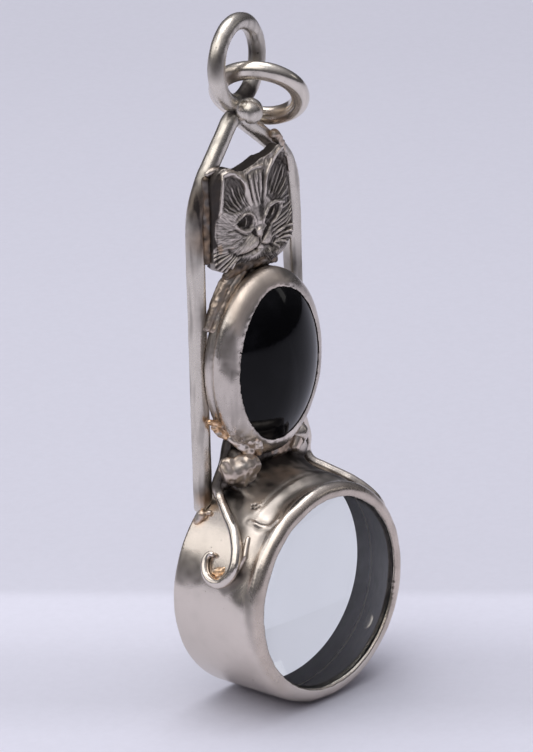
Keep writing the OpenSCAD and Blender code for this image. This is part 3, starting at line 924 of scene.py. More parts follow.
# Places painted lighter, each an x, y, z, radius and strength; the three high on the bezel are painted
# highlights
BEZEL_LIGHTER_AND_HIGHLIGHTS = (
    (-2.7, -5.1, 33.6, 1.6, -0.4), (-0.8, -5.3, 33.8, 1.6, -0.4), (2.0, -5.3, 34.2, 1.6, -0.35),
    (3.2, -5.2, 34.4, 1.6, -0.35), (-0.4, -4.8, 55.8, 1.8, -0.4), (1.0, -5.0, 55.0, 1.6, -0.4),
    (-4.1, -4.6, 54.8, 2.4, -0.4),
)


class PENDANT_OT_bezel(bpy.types.Operator):
    """Shape the hand-beaten bezel round the stone"""

    bl_idname = "pendant.bezel"
    bl_label = "Bezel"

    def execute(self, context):
        piece = fine_copy("bezel", "bezel_skin", SILVER_CELL, 5)
        points = points_of(piece)
        normals = normals_of(piece)
        seen = seen_on_plane(points, BEZEL_PLANE)
        depth = dent_depth()
        shown = ramp(normals @ np.array(line_of_sight()), 0.0, 0.3)
        amount = 1.0 * depth * bumps(points, 3.5, 6) + 0.3 * depth * bumps(points, 1.6, 7)
        for sunken, dark, edge, outline in BEZEL_FACETS:
            amount -= sunken * shown * inside(seen, outline, 1.1)
        across = (points[:, 0] - STONE_MIDDLE[0]) / STONE_HALF[0]
        up = (points[:, 2] - STONE_MIDDLE[1]) / STONE_HALF[1]
        oval = np.hypot(across, up)
        lip = ramp(-oval, -1.10, -1.02) * ramp(-points[:, 1], 4.3, 4.9)
        amount += lip * (0.10 * bumps(points, 0.7, 15) - 0.02)
        low_left = near(points, LOW_LEFT, 3.4)
        amount += low_left * (0.18 * np.abs(bumps(points, 1.1, 16)) + 0.08 * bumps(points, 0.6, 17))
        back_edge = ramp(points[:, 1], -3.0, -2.0) * ramp(points[:, 2], 50, 53)
        back_edge *= ramp(-points[:, 0], -4.0, -1.0)
        amount += back_edge * shown * 0.12 * bumps(points, 0.5, 18)
        push(piece, amount)
        self.draw_lip_in(piece, oval)
        self.colour(piece, shown, low_left, back_edge)
        metal = silver("Bezel silver", patches=0.22, polished=0.2)
        finish_piece(piece, "pendant", ["bezel"], "bezel_silver", metal)
        return {"FINISHED"}

    def draw_lip_in(self, piece, oval):
        """Pulls the lip at the left over the edge of the stone and a little forward."""
        points = points_of(piece)
        reach = ramp(-oval, -1.14, -1.02) * ramp(-points[:, 1], 4.0, 4.8) * ramp(-points[:, 0], 1.0, 6.0)
        points[:, 0] += 0.34 * reach
        points[:, 1] -= 0.27 * reach
        move_points(piece, points)

    def colour(self, piece, shown, low_left, back_edge):
        """Paints the oxide, painted highlights high on the bezel, the satin patch and its trace of warmth."""
        points = points_of(piece)
        seen = seen_on_plane(points, BEZEL_PLANE)
        crumbs = 0.75 + 1.1 * bumps(points, 0.5, 19)
        streaky = 1 + 0.9 * bumps(points * np.array((3.0, 3.0, 0.5)), 1.4, 24)
        tarnish_and_shade = 4 * sunk(piece, 14)
        tarnish_and_shade += 0.9 * back_edge * crumbs * shown
        tarnish_and_shade += 0.14 * shown * (1 + bumps(points, 3.0, 28))
        for sunken, dark, edge, outline in BEZEL_FACETS:
            tarnish_and_shade += dark * shown * inside(seen, outline, edge)
        tarnish_and_shade += 0.45 * shown * ramp(points[:, 1], -3.0, -1.8) * streaky * ramp(points[:, 2], 44, 47)
        tarnish_and_shade += 0.25 * (1 - shown) * (1 + bumps(points, 2.5, 31))
        tarnish_and_shade += 0.16 * shown * streaky * ramp(-points[:, 2], -46, -40)
        tarnish_and_shade += low_left * 7 * sunk(piece, 5)
        # Painted highlights high on the bezel, and lighter spots low on it
        tarnish_and_shade += spots(points, BEZEL_LIGHTER_AND_HIGHLIGHTS)
        paint(piece, "tarnish_and_shade", tarnish_and_shade)
        satin = inside(seen, BEZEL_SATIN, 0.9)
        paint(piece, "satin", satin * shown)
        paint(piece, "gold_and_warm_light", 0.15 * satin)


class PENDANT_OT_stone(bpy.types.Operator):
    """Shape the domed black stone"""

    bl_idname = "pendant.stone"
    bl_label = "Stone"

    def execute(self, context):
        piece = fine_copy("cabochon", "stone", 0.2, 12)
        finish_piece(piece, "pendant", ["cabochon"], "black_stone", black_stone())
        return {"FINISHED"}


# The cat's face as the camera sees it, slid onto a plane 2.6 mm in front of the rails
# Ridges and grooves are each a half width, a height and a line of points
FACE_PLANE = -2.6
EAR_RIMS = (
    (0.20, 0.26, ((-7.06, 65.00), (-6.88, 66.16), (-6.55, 67.68), (-6.37, 68.97), (-6.37, 70.11))),
    (0.30, 0.30, (
        (-6.28, 70.22), (-5.42, 70.27), (-4.30, 69.90), (-3.19, 69.19), (-2.37, 68.25), (-1.97, 67.21),
        (-1.69, 66.20), (-1.25, 65.21))),
    (0.18, 0.20, ((-2.13, 69.46), (-1.26, 69.79), (-0.21, 69.86), (0.84, 69.77))),
    (0.22, 0.28, (
        (1.51, 66.07), (1.44, 67.30), (1.75, 68.44), (2.33, 69.38), (3.07, 70.20), (4.06, 70.91),
        (5.04, 71.41))),
    (0.14, 0.17, ((5.40, 70.65), (5.74, 69.22), (5.98, 67.81), (6.22, 66.39), (6.50, 64.97))),
)
EYELIDS = (
    (0.14, 0.24, (
        (-4.57, 63.32), (-3.80, 63.63), (-3.02, 64.04), (-2.25, 64.21), (-1.49, 64.10), (-0.93, 63.65),
        (-0.57, 63.02), (-0.41, 62.30))),
    (0.15, 0.20, ((-4.21, 62.95), (-3.47, 62.36), (-2.53, 61.85), (-1.58, 61.75), (-0.96, 61.94))),
    (0.14, 0.24, (
        (0.90, 62.24), (1.15, 62.92), (1.57, 63.63), (2.36, 64.24), (3.33, 64.44), (4.30, 64.27),
        (5.02, 63.95))),
    (0.12, 0.16, ((2.69, 61.78), (3.44, 62.18), (4.08, 62.69), (4.41, 63.29), (4.47, 63.82))),
)
PUPILS = (
    (0.12, 0.18, ((-2.22, 63.37), (-2.31, 62.74))),
    (0.12, 0.18, ((2.96, 63.68), (2.66, 62.92))),
)
NOSE = (
    (0.34, 0.30, ((0.29, 62.87), (0.26, 62.06), (0.28, 61.24))),
    (0.20, 0.14, ((-0.18, 60.79), (0.68, 60.71))),
    (0.26, 0.20, ((0.71, 58.96), (-0.17, 58.65), (-1.14, 58.42))),
    (0.34, 0.18, ((-2.43, 59.77), (-1.27, 59.88), (-0.49, 60.09))),
)
FOREHEAD = (
    (0.17, 0.16, ((-1.30, 68.92), (-1.14, 67.94), (-0.90, 66.81), (-0.56, 65.65), (-0.22, 64.75))),
    (0.12, 0.14, ((0.53, 69.14), (0.63, 68.31), (0.60, 67.38), (0.67, 66.42))),
    (0.11, 0.10, ((-0.36, 68.42), (-0.18, 67.17), (0.12, 65.88), (0.36, 64.87))),
    (0.13, 0.10, ((-0.13, 69.31), (-0.06, 68.62), (0.04, 67.92))),
)
GROOVES = (
    (0.15, 0.16, ((-1.76, 69.17), (-1.44, 67.75), (-1.23, 66.62), (-0.95, 65.61))),
    (0.12, 0.14, ((-0.68, 69.04), (-0.50, 67.78), (-0.24, 66.51), (0.13, 65.20))),
    (0.12, 0.12, ((0.19, 68.82), (0.22, 67.61), (0.36, 66.36), (0.57, 65.09))),
    (0.22, 0.18, ((1.23, 68.97), (1.07, 67.67), (1.02, 66.33), (0.89, 65.01))),
    (0.15, 0.28, ((0.21, 60.32), (0.16, 59.62))),
    (0.14, 0.24, ((0.16, 59.62), (-0.53, 59.15), (-1.69, 58.91), (-2.85, 58.87), (-3.99, 58.96))),
    (0.14, 0.22, ((0.35, 59.57), (1.05, 59.12), (1.97, 59.05), (2.58, 58.73))),
    (0.12, 0.12, ((-5.55, 62.60), (-4.23, 62.46), (-3.12, 61.64), (-1.99, 61.15))),
)
WHISKERS = (
    (0.14, 0.22, ((-8.84, 60.08), (-7.55, 60.22), (-5.85, 60.05))),
    (0.14, 0.22, ((-8.86, 59.55), (-7.38, 59.77), (-5.67, 59.80))),
    (0.13, 0.22, ((-8.46, 58.84), (-7.02, 59.21), (-5.30, 59.50))),
    (0.13, 0.22, ((-7.92, 58.22), (-6.57, 58.68), (-4.93, 59.27))),
    (0.13, 0.22, ((-7.28, 57.72), (-6.02, 58.27), (-4.46, 59.08))),
    (0.13, 0.22, ((-6.53, 57.39), (-5.56, 57.95), (-3.99, 58.89))),
    (0.13, 0.22, ((-5.89, 56.88), (-5.19, 57.51), (-4.39, 58.39), (-3.32, 58.85))),
    (0.14, 0.24, ((3.17, 60.17), (4.55, 60.57), (5.72, 60.74), (6.79, 60.61))),
    (0.14, 0.24, ((3.35, 59.71), (4.72, 59.98), (5.89, 59.95), (6.66, 59.69))),
    (0.14, 0.24, ((3.34, 59.31), (4.70, 59.44), (5.86, 59.28), (6.47, 58.98))),
    (0.13, 0.20, ((2.94, 59.14), (4.10, 59.05), (4.97, 58.76), (5.44, 58.36))),
    (0.13, 0.20, ((2.65, 59.08), (3.41, 58.61), (3.88, 58.22))),
    (0.13, 0.18, ((2.39, 59.89), (3.57, 60.47), (5.14, 60.82), (6.14, 61.66))),
    (0.13, 0.18, ((2.61, 60.65), (3.79, 61.03), (5.16, 61.36), (6.26, 62.31))),
    (0.13, 0.18, ((2.83, 61.27), (4.20, 61.61), (5.38, 61.99), (6.29, 62.98))),
    (0.12, 0.16, ((3.04, 61.76), (4.41, 62.23), (5.60, 62.75), (6.31, 63.65))),
    (0.12, 0.16, ((4.65, 63.26), (5.63, 63.55), (6.42, 64.10))),
)
EAR_HAIRS = (
    (0.11, 0.16, ((-2.21, 65.18), (-2.93, 66.11), (-3.37, 67.02), (-3.62, 67.89))),
    (0.11, 0.16, ((-2.98, 65.11), (-3.88, 66.21), (-4.41, 67.28), (-4.71, 68.16))),
    (0.11, 0.16, ((-3.36, 64.94), (-4.46, 66.02), (-5.17, 67.20))),
    (0.11, 0.14, ((-3.85, 64.79), (-5.05, 65.67), (-5.86, 66.70))),
    (0.11, 0.14, ((-4.23, 64.62), (-5.44, 65.26), (-6.20, 66.05))),
    (0.10, 0.12, ((-1.46, 64.73), (-2.19, 65.65), (-2.69, 66.58))),
    (0.10, 0.14, ((2.22, 65.69), (2.66, 67.00), (3.28, 68.06), (3.99, 69.10))),
    (0.10, 0.14, ((2.80, 65.55), (3.42, 66.81), (4.04, 67.88), (4.62, 68.81))),
    (0.10, 0.14, ((3.38, 65.67), (4.09, 66.65), (4.70, 67.44), (4.93, 68.47))),
    (0.10, 0.14, ((3.95, 65.33), (4.85, 66.19), (5.37, 67.01))),
    (0.10, 0.14, ((4.51, 64.78), (5.50, 65.49), (5.91, 66.06))),
    (0.10, 0.12, ((4.69, 64.33), (5.86, 64.72), (6.36, 65.14))),
)
LEFT_EYE = (
    (-4.04, 63.26), (-3.03, 63.81), (-2.16, 64.00), (-1.35, 63.71), (-0.99, 63.19), (-1.07, 62.54),
    (-1.57, 62.09), (-2.52, 62.15), (-3.46, 62.66),
)
RIGHT_EYE = (
    (1.22, 62.16), (1.35, 62.94), (1.96, 63.73), (2.90, 64.21), (3.86, 64.13), (4.20, 63.75), (3.96, 63.02),
    (3.45, 62.34), (2.70, 61.85), (1.90, 61.37),
)
NOSE_LEFT = ((-1.31, 61.45), (-0.65, 61.96), (-0.37, 61.28), (-0.17, 60.61), (-0.66, 60.74))
NOSE_RIGHT = (
    (0.64, 60.54), (1.19, 61.35), (2.08, 61.94), (2.45, 61.51), (1.57, 60.78), (0.95, 60.12), (0.41, 59.56),
)
SMUDGE = ((-3.83, 60.38), (-2.91, 60.95), (-2.26, 60.95), (-2.56, 60.32), (-3.18, 60.07))
MUZZLE = (
    (-2.38, 61.00), (-1.41, 61.14), (-0.32, 60.52), (-0.01, 59.83), (-0.68, 59.32), (-2.03, 59.10),
    (-3.21, 59.30), (-3.60, 60.07), (-3.15, 60.77),
)
CROWN = ((-2.0, 69.6), (1.3, 69.6), (1.3, 65), (0.6, 63.6), (-0.4, 63.6), (-1.4, 65))
GOLD_CORNER = ((-7.85, 61.2), (-7.3, 60.1), (-6.6, 60.4), (-7.0, 61.3))
RIGHT_MUZZLE = ((0.5, 59.7), (0.9, 60.4), (1.7, 60.9), (2.5, 60.5), (2.4, 59.6), (1.5, 59.2))
LEFT_EAR = (
    (-6.10, 69.84), (-5.25, 69.92), (-4.13, 69.51), (-3.12, 68.70), (-2.49, 67.61), (-2.16, 66.45),
    (-1.73, 65.26), (-2.99, 64.77), (-4.71, 64.67), (-6.38, 65.49),
)
RIGHT_EAR = (
    (1.64, 65.63), (1.80, 67.22), (2.13, 68.21), (2.74, 69.14), (3.54, 70.02), (4.54, 70.72), (5.40, 70.51),
    (5.71, 68.55), (6.03, 66.71), (6.36, 65.00), (4.68, 64.20), (2.76, 64.54),
)
PLATE = (
    (-12, 71.6), (-7.09, 71.02), (-6.62, 70.21), (-6.78, 68.76), (-7.05, 66.95), (-7.36, 65.02),
    (-7.95, 64.15), (-8.20, 62.60), (-7.69, 61.26), (-9.02, 60.8), (-9.30, 58.6), (-12, 58.6),
)
BROW = ((0.67, 65.20), (1.14, 65.08), (1.07, 63.34), (0.58, 62.93), (0.20, 63.16), (0.10, 64.40))
LEFT_TUFT = ((-4.0, 59.3), (-5.6, 60.4), (-9.4, 60.6), (-10, 58.6), (-6.2, 56.0), (-3.0, 58.6))
RIGHT_TUFT = (
    (2.2, 59.0), (2.2, 60.4), (2.6, 61.6), (4.2, 62.9), (5.2, 64.6), (7.0, 65.0), (7.6, 62.0), (7.6, 58.0),
    (2.6, 57.8),
)
# Spots painted lighter on the chin, and a painted highlight on the top corner of the plate, each an x, y, z,
# radius and strength
CHIN_LIGHTER_AND_CORNER_HIGHLIGHT = (
    (-0.7, -2.8, 58.7, 0.9, -0.6), (0.1, -2.7, 58.9, 0.8, -0.5), (-1.5, -2.6, 58.5, 0.8, -0.5),
    (-6.65, -1.7, 70.7, 0.9, -0.8),
)
# Painted shade under the chin
SHADE_UNDER_CHIN = (
    (-3.4, 58.5), (-1.6, 58.2), (-0.5, 58.1), (0.8, 58.3), (1.4, 58.6), (2.4, 58.0), (3.5, 57.5), (3.5, 55),
    (-6, 55), (-5.2, 56.6),
)


# Each area of the face: how high it stands, how dark it is, and its outlines with their soft edges
FACE_AREAS = {
    "eyes": (-0.24, 0.50, ((LEFT_EYE, 0.1), (RIGHT_EYE, 0.1))),
    "ears": (-0.16, 0.42, ((LEFT_EAR, 0.2), (RIGHT_EAR, 0.2))),
    "nose": (-0.24, 0.75, ((NOSE_LEFT, 0.12), (NOSE_RIGHT, 0.12))),
    "muzzle": (0.14, -0.26, ((MUZZLE, 0.35), (RIGHT_MUZZLE, 0.3))),
    "tufts": (-0.12, 0.42, ((LEFT_TUFT, 0.3), (RIGHT_TUFT, 0.3))),
    "smudge": (-0.06, 0.45, ((SMUDGE, 0.2),)),
    "brow": (0.0, 0.4, ((BROW, 0.2),)),
    "crown": (0.0, 0.16, ((CROWN, 0.3),)),
}


class PENDANT_OT_cat_face(bpy.types.Operator):
    """Shape the cast cat's face with its fur, eyes, nose and whisker tufts"""

    bl_idname = "pendant.cat_face"
    bl_label = "Cat's face"

    def execute(self, context):
        piece = fine_copy("cat_face", "cat_skin", CAST_CELL, 4)
        points = points_of(piece)
        normals = normals_of(piece)
        seen = seen_on_plane(points, FACE_PLANE)
        front = ramp(-normals[:, 1], 0.15, 0.5)
        behind = ramp(normals[:, 1], 0.3, 0.7)
        fur = sizes().fur * 1000
        areas = {}
        for name, (height, dark, outlines) in FACE_AREAS.items():
            areas[name] = sum(inside(seen, outline, edge) for outline, edge in outlines)
        ears, muzzle, crown = areas["ears"], areas["muzzle"], areas["crown"]
        plate = inside(seen, PLATE, 0.2) * ramp(-normals[:, 1], -0.5, -0.1)
        whiskers = strokes(seen, WHISKERS)
        strands = strokes(seen, EAR_HAIRS)
        ridges = strokes(seen, EAR_RIMS + EYELIDS + NOSE + FOREHEAD)
        pupils = strokes(seen, PUPILS)
        cuts = strokes(seen, GROOVES)
        relief = ridges + whiskers + strands + pupils - cuts
        relief += sum(FACE_AREAS[name][0] * area for name, area in areas.items())
        busy = areas["eyes"] + ears + 0.7 * muzzle + plate + 0.8 * areas["tufts"] + crown + 3 * ridges
        quiet = np.clip(1 - busy, 0, 1)
        cheek = hairs(seen, (-0.6, 61.0), 0.16, 6)
        relief += fur * 0.30 * quiet * cheek
        relief += fur * 0.20 * (muzzle + crown) * bumps(points, 0.3, 7)
        relief += fur * 0.45 * muzzle * hairs(seen, (1.5, 62.5), 0.22, 9)
        relief += fur * 0.25 * ears * hairs(seen, (0.5, 62.0), 0.22, 3)
        push(piece, relief * front)
        cut = sunk(piece, 6) * front
        raised = np.maximum(-hollows(piece, 8), 0) * front
        tarnish_and_shade = 0.36 + 7 * cut - 6 * raised - 0.16 * quiet * cheek
        tarnish_and_shade += sum(FACE_AREAS[name][1] * area for name, area in areas.items())
        tarnish_and_shade += 2.2 * cuts - 3.4 * ridges - 3.6 * whiskers - 2.4 * strands - 3.0 * pupils
        tarnish_and_shade *= front
        tarnish_and_shade += 0.85 * plate * (1 + 0.5 * bumps(points * np.array((2.2, 2.2, 0.35)), 1.2, 22))
        # Painted shade under the chin, then spots painted lighter and a painted highlight
        tarnish_and_shade += 0.6 * inside(seen, SHADE_UNDER_CHIN, 0.3) + spots(points, CHIN_LIGHTER_AND_CORNER_HIGHLIGHT)
        tarnish_and_shade += (0.85 * ramp(normals[:, 2], -0.2, 0.3) + 0.5) * (1 - front) * (1 - behind) + 0.42 * behind
        paint(piece, "tarnish_and_shade", np.clip(tarnish_and_shade, 0.02, 0.97))
        paint(piece, "satin", 0.8 * muzzle)
        flecks = plate * ramp(bumps(points, 0.9, 23), 0.0, 0.5)
        paint(piece, "gold_and_warm_light", 0.5 * inside(seen, GOLD_CORNER, 0.2) + 0.5 * flecks)
        metal = silver(
            "Cast silver", patches=0.12, polished=0.36, tarnished=0.6, scratches=0.1, relief=0.00001
        )
        finish_piece(piece, "pendant", ["cat_face"], "cast_silver", metal)
        return {"FINISHED"}


# How far the left scroll's top leans to the right
SCROLL_PULL = 1.35


class PENDANT_OT_scrolls(bpy.types.Operator):
    """Shape the two scrolls of wire on the housing"""

    bl_idname = "pendant.scrolls"
    bl_label = "Scrolls"

    def execute(self, context):
        metal = silver("Scroll silver", polished=0.22)
        for node in ("scroll_left", "scroll_right"):
            piece = fine_copy(node, node + "_skin", 0.1, 3)
            points = points_of(piece)
            out = np.hypot(points[:, 0], points[:, 2] - DRUM_RADIUS)
            crest = ramp(out, 15.6, 16.1) * ramp(-points[:, 2], -27.5, -26.0)
            push(piece, 0.5 * dent_depth() * bumps(points, 1.2, 8) + 0.06 * crest)
            points = points_of(piece)
            left = points[:, 0] < 0
            points[:, 0] += SCROLL_PULL * ramp(points[:, 2], 28.8, 32.8) * left
            move_points(piece, points)
            paint(piece, "tarnish_and_shade", 8 * sunk(piece, 12) + 0.9 * ramp(points[:, 2], 28.0, 29.6) * left)
            paint(piece, "gold_and_warm_light", np.zeros(len(points)))
            finish_piece(piece, "pendant", [node], "scroll_silver", metal)
        return {"FINISHED"}


# Lumps of solder and melted silver: a name, how dark, how golden, how crumpled, the size of the folds,
# and chains of balls, each the count from one station to the next, and the stations' x, y, z and radius
SOLDER = (
    ("plate_solder", 0.84, 0.8, 0.03, 2.4, (
        (16, (-7.75, -0.9, 69.6, 0.55), (-7.9, -0.9, 65.2, 0.75), (-8.0, -0.9, 59.2, 0.65)),)),
    ("corner_solder", 0.28, 0.1, 0.05, 0.9, (
        (6, (-7.5, -1.0, 70.4, 0.4), (-6.8, -1.3, 70.65, 0.45), (-5.9, -1.6, 70.7, 0.3)),)),
    ("chin_solder", 0.80, 0.6, 0.16, 1.1, (
        (8, (-5.0, -1.5, 56.4, 0.6), (-3.6, -1.7, 57.2, 0.9)),
        (14, (-3.6, -1.7, 57.2, 0.9), (1.2, -1.9, 57.2, 0.85)),
        (10, (1.2, -1.9, 57.3, 0.85), (4.3, -1.2, 56.3, 0.55)),
        (12, (-3.2, -1.4, 56.4, 0.8), (2.0, -1.4, 56.4, 0.7)),
        (6, (1.0, -1.3, 58.2, 0.6), (2.8, -1.3, 58.0, 0.6)))),
    ("backing", 0.42, 0.3, 0.07, 0.7, (
        (12, (-3.4, -1.4, 56.9, 0.7), (-5.4, -1.3, 55.2, 0.85), (-7.1, -1.3, 52.9, 0.8),
            (-8.5, -1.2, 50.4, 0.6)),
        (12, (-2.6, -1.9, 56.5, 0.6), (-4.7, -1.9, 54.8, 0.7), (-6.5, -1.9, 52.5, 0.7),
            (-7.9, -1.8, 50.0, 0.55)))),
    ("ear_solder", 0.30, 0.35, 0.20, 0.8, (
        (5, (5.0, -1.1, 72.6, 0.7), (5.9, -1.0, 71.3, 0.8), (6.5, -0.9, 69.6, 0.45)),)),
    ("neck_solder", 0.92, 0.0, 0.06, 1.5, (
        (9, (-6.4, -2.0, 34.9, 0.5), (-6.6, -2.0, 32.4, 0.8), (-8.2, -2.0, 28.6, 0.7)),
        (9, (-6.0, -2.0, 34.6, 0.6), (-5.2, -2.1, 32.6, 0.9)),
        (9, (-6.2, -2.0, 33.4, 0.8), (-7.2, -2.1, 29.4, 1.0)),
        (12, (-4.6, -2.6, 32.3, 0.9), (0.4, -2.6, 32.1, 0.9)),
        (12, (-4.4, -2.6, 31.6, 0.9), (0.6, -2.6, 31.4, 0.9)))),
    ("bridge_solder", 0.45, 0.5, 0.14, 1.1, (
        (12, (0.4, -2.6, 32.1, 0.9), (4.8, -2.6, 32.0, 0.9)),
        (12, (0.6, -2.6, 31.4, 0.9), (4.6, -2.6, 31.2, 0.9)))),
    ("right_lump", 0.14, 0.20, 0.02, 1.6, (
        (7, (4.7, -3.4, 31.2, 0.8), (5.6, -3.2, 32.3, 1.0)),
        (6, (5.6, -3.2, 32.3, 1.0), (5.8, -2.9, 34.0, 0.7)))),
    ("gold_leaf", 0.12, 1.0, 0.12, 0.9, (
        (10, (-9.3, -1.8, 38.1, 0.35), (-7.2, -2.0, 37.1, 0.6), (-5.6, -2.6, 35.7, 0.6)),
        (8, (-8.5, -1.8, 37.1, 0.4), (-7.3, -2.0, 35.9, 0.55), (-5.9, -2.6, 35.2, 0.55)))),
    ("silver_leaf", 0.08, 0.15, 0.14, 1.0, (
        (9, (-6.7, -3.0, 35.4, 0.5), (-5.7, -3.8, 34.4, 0.7), (-4.6, -4.2, 33.3, 0.7)),
        (9, (-6.0, -4.0, 35.8, 0.45), (-4.8, -4.6, 34.8, 0.6), (-3.6, -4.8, 33.7, 0.6)))),
    ("cream_leaf", 0.04, 0.45, 0.12, 1.0, (
        (8, (-4.3, -5.1, 35.3, 0.35), (-3.8, -4.8, 34.2, 0.7), (-3.3, -4.5, 33.1, 0.6)),)),
    ("nugget", 0.16, 0.2, 0.22, 1.4, (
        (4, (-5.8, -3.4, 31.2, 2.1), (-6.4, -3.1, 31.1, 2.0)),
        (4, (-6.8, -3.0, 31.3, 1.7), (-7.3, -3.0, 32.2, 1.0)),
        (6, (-5.2, -3.8, 31.5, 1.8), (-4.5, -4.1, 31.5, 1.4)),
        (3, (-5.3, -3.8, 30.6, 1.6), (-5.9, -3.7, 30.3, 1.5)))),
)
# The same on the drum, with degrees round, depth and distance from the axis in place of x, y and z
ON_DRUM = (
    ("rail_foot", 0.15, 0.5, 0.06, 1.0, (
        (6, (47.0, 12.9, 14.7, 0.6), (43.6, 12.4, 15.0, 0.7)),
        (3, (41.6, 11.6, 15.0, 0.35), (41.4, 11.5, 15.0, 0.35)))),
    ("hook_gold", 0.10, 1.0, 0.14, 0.7, (
        (6, (66.4, 6.1, 14.5, 0.5), (69.0, 7.2, 14.55, 0.65)),
        (5, (68.0, 6.4, 14.55, 0.6), (70.6, 7.0, 14.5, 0.5)))),
    ("fillet", 0.10, 0.10, 0.02, 1.5, (
        (22, (48.0, 4.1, 14.55, 0.35), (57.0, 3.5, 14.55, 0.42), (66.5, 4.2, 14.5, 0.4)),)),
)


SOLDER_CELL = 0.1


def chain_of_balls(count, *stations):
    """Balls spaced evenly from each station to the next."""
    shares = np.linspace(0, 1, count)[:, None]
    balls = []
    for start, end in zip(stations[:-1], stations[1:]):
        balls += (np.asarray(start) * (1 - shares) + np.asarray(end) * shares).tolist()
    return balls


class PENDANT_OT_solder(bpy.types.Operator):
    """Melt the solder that joins the wires, the face, the bezel and the drum"""

    bl_idname = "pendant.solder"
    bl_label = "Solder"

    def execute(self, context):
        metal = silver("Solder", patches=0.5, polished=0.3, tarnished=0.5, scratches=0.2)
        for seed, (name, dark, golden, crumple, size, chains) in enumerate(SOLDER + ON_DRUM):
            balls = [ball for chain in chains for ball in chain_of_balls(*chain)]
            if seed >= len(SOLDER):
                balls = [on_drum(*ball[:3]) + (ball[3],) for ball in balls]
            piece = lumps(name, balls, SOLDER_CELL)
            points = points_of(piece)
            folds = 0.5 - np.abs(bumps(points, size, 30 + seed)) * 1.8
            push(piece, crumple * (folds + 0.25 * bumps(points, 0.45 * size, 50 + seed)))
            soften(piece, 3)
            points = points_of(piece)
            tarnish_and_shade = dark + 0.2 * bumps(points, 0.7, 70 + seed)
            tarnish_and_shade += 5 * sunk(piece, 8)
            paint(piece, "tarnish_and_shade", tarnish_and_shade)
            paint(piece, "gold_and_warm_light", golden * ramp(bumps(points, 1.0, 90 + seed), -0.5, 0.1))
            finish_piece(piece, "pendant", [], "wire_silver", metal)
        return {"FINISHED"}


# Where the ring hangs in the bail
HANG = (2.51, -0.98, 78.6)
RING_STAINS = (
    (-2.4, -0.7, 81.7, 2.0, 0.75), (5.4, -1.9, 75.6, 2.6, 0.5), (-1.0, -3.7, 82.2, 1.6, 0.35),
    (0.6, -4.6, 82.0, 1.6, 0.3),
)
RING_SWELL = 0.32
RING_GOLD = ((5.4, -1.9, 75.6, 2.6, 0.4), (-2.4, -0.7, 81.7, 2.0, 0.2))


class PENDANT_OT_jump_ring(bpy.types.Operator):
    """Shape the loose jump ring"""

    bl_idname = "pendant.jump_ring"
    bl_label = "Jump ring"

    def execute(self, context):
        piece = fine_copy("jump_ring", "jump_ring_skin", SILVER_CELL, 3)
        push(piece, 0.5 * dent_depth() * bumps(points_of(piece), 2.5, 9))
        self.thicken(piece)
        points = points_of(piece)
        paint(piece, "tarnish_and_shade", 6 * sunk(piece, 12) + spots(points, RING_STAINS))
        paint(piece, "gold_and_warm_light", spots(points, RING_GOLD))
        metal = silver("Ring silver", bright=colours().ring, patches=0.3, polished=0.2)
        finish_piece(piece, "jump_ring", ["jump_ring"], "ring_silver", metal)
        return {"FINISHED"}

    def thicken(self, piece):
        """Swells the inner side of the ring's wire, away from where it hangs in the bail."""
        points = points_of(piece)
        middle = (points.min(axis=0) + points.max(axis=0)) / 2
        away = points - middle
        tilt = np.linalg.svd(away, full_matrices=False)[2][2]
        level = away - np.outer(away @ tilt, tilt)
        reach = np.linalg.norm(level, axis=1)
        wire = (reach.min() + reach.max()) / 2
        inner = ramp(wire - reach, -0.3, 0.5)
        free = ramp(np.linalg.norm(points - np.asarray(HANG), axis=1), 3.0, 5.5)
        points -= level / reach[:, None] * (RING_SWELL * inner * free)[:, None]
        move_points(piece, points)


# The floor, the lights and the camera
CAMERA_AIM = (3.53, 0.0, 40.35)
PIXELS_TALL = 752
FOCAL_PIXELS = 5292.02
SENSOR = 36.0
FLOOR_SIZE = 6.0
LIGHT_REACH = 1.5
LIT_MIDDLE = (0, 0, 40)
# Each light's name, angles round the object and above the floor, width and height in degrees, radiance
# and colour
LIGHTS = (
    ("Window", -85, 54, 58, 44, 1.3, (1.0, 0.975, 0.95)),
    ("Lamp", 55, 22, 8, 12, 1.2, (1.0, 0.98, 0.96)),
    ("Back left", -136, 29, 44, 26, 1.0, (1.0, 0.98, 0.97)),
    ("Overhead", 150, 76, 50, 44, 2.0, (0.98, 0.98, 1.0)),
)
# Tones of the room that the metal mirrors, from the floor up
ROOM_TONES = (
    (0.0, (0.05, 0.05, 0.055)),
    (0.25, (0.09, 0.09, 0.10)),
    (0.6, (0.28, 0.28, 0.31)),
    (1.0, (0.80, 0.80, 0.86)),
)
BACKDROP = (0.62, 0.62, 0.74)
# Painted light on the floor, lighter nearest the camera and in a soft strip behind the object, as
# (millimetres beyond the housing's foot, share of the floor's colour)
FLOOR_LIGHT_TONES = (
    (-40.0, 1.12),
    (-21.0, 1.12),
    (-9.0, 1.0),
    (5.0, 1.04),
    (13.0, 1.13),
    (20.0, 1.18),
    (27.0, 1.18),
    (30.0, 1.03),
    (45.0, 1.01),
    (155.0, 1.0),
    (240.0, 0.97),
    (300.0, 0.94),
)
# The direction over the floor, in x and y, in which its tones change
FLOOR_AWAY = (0.784, 0.621)


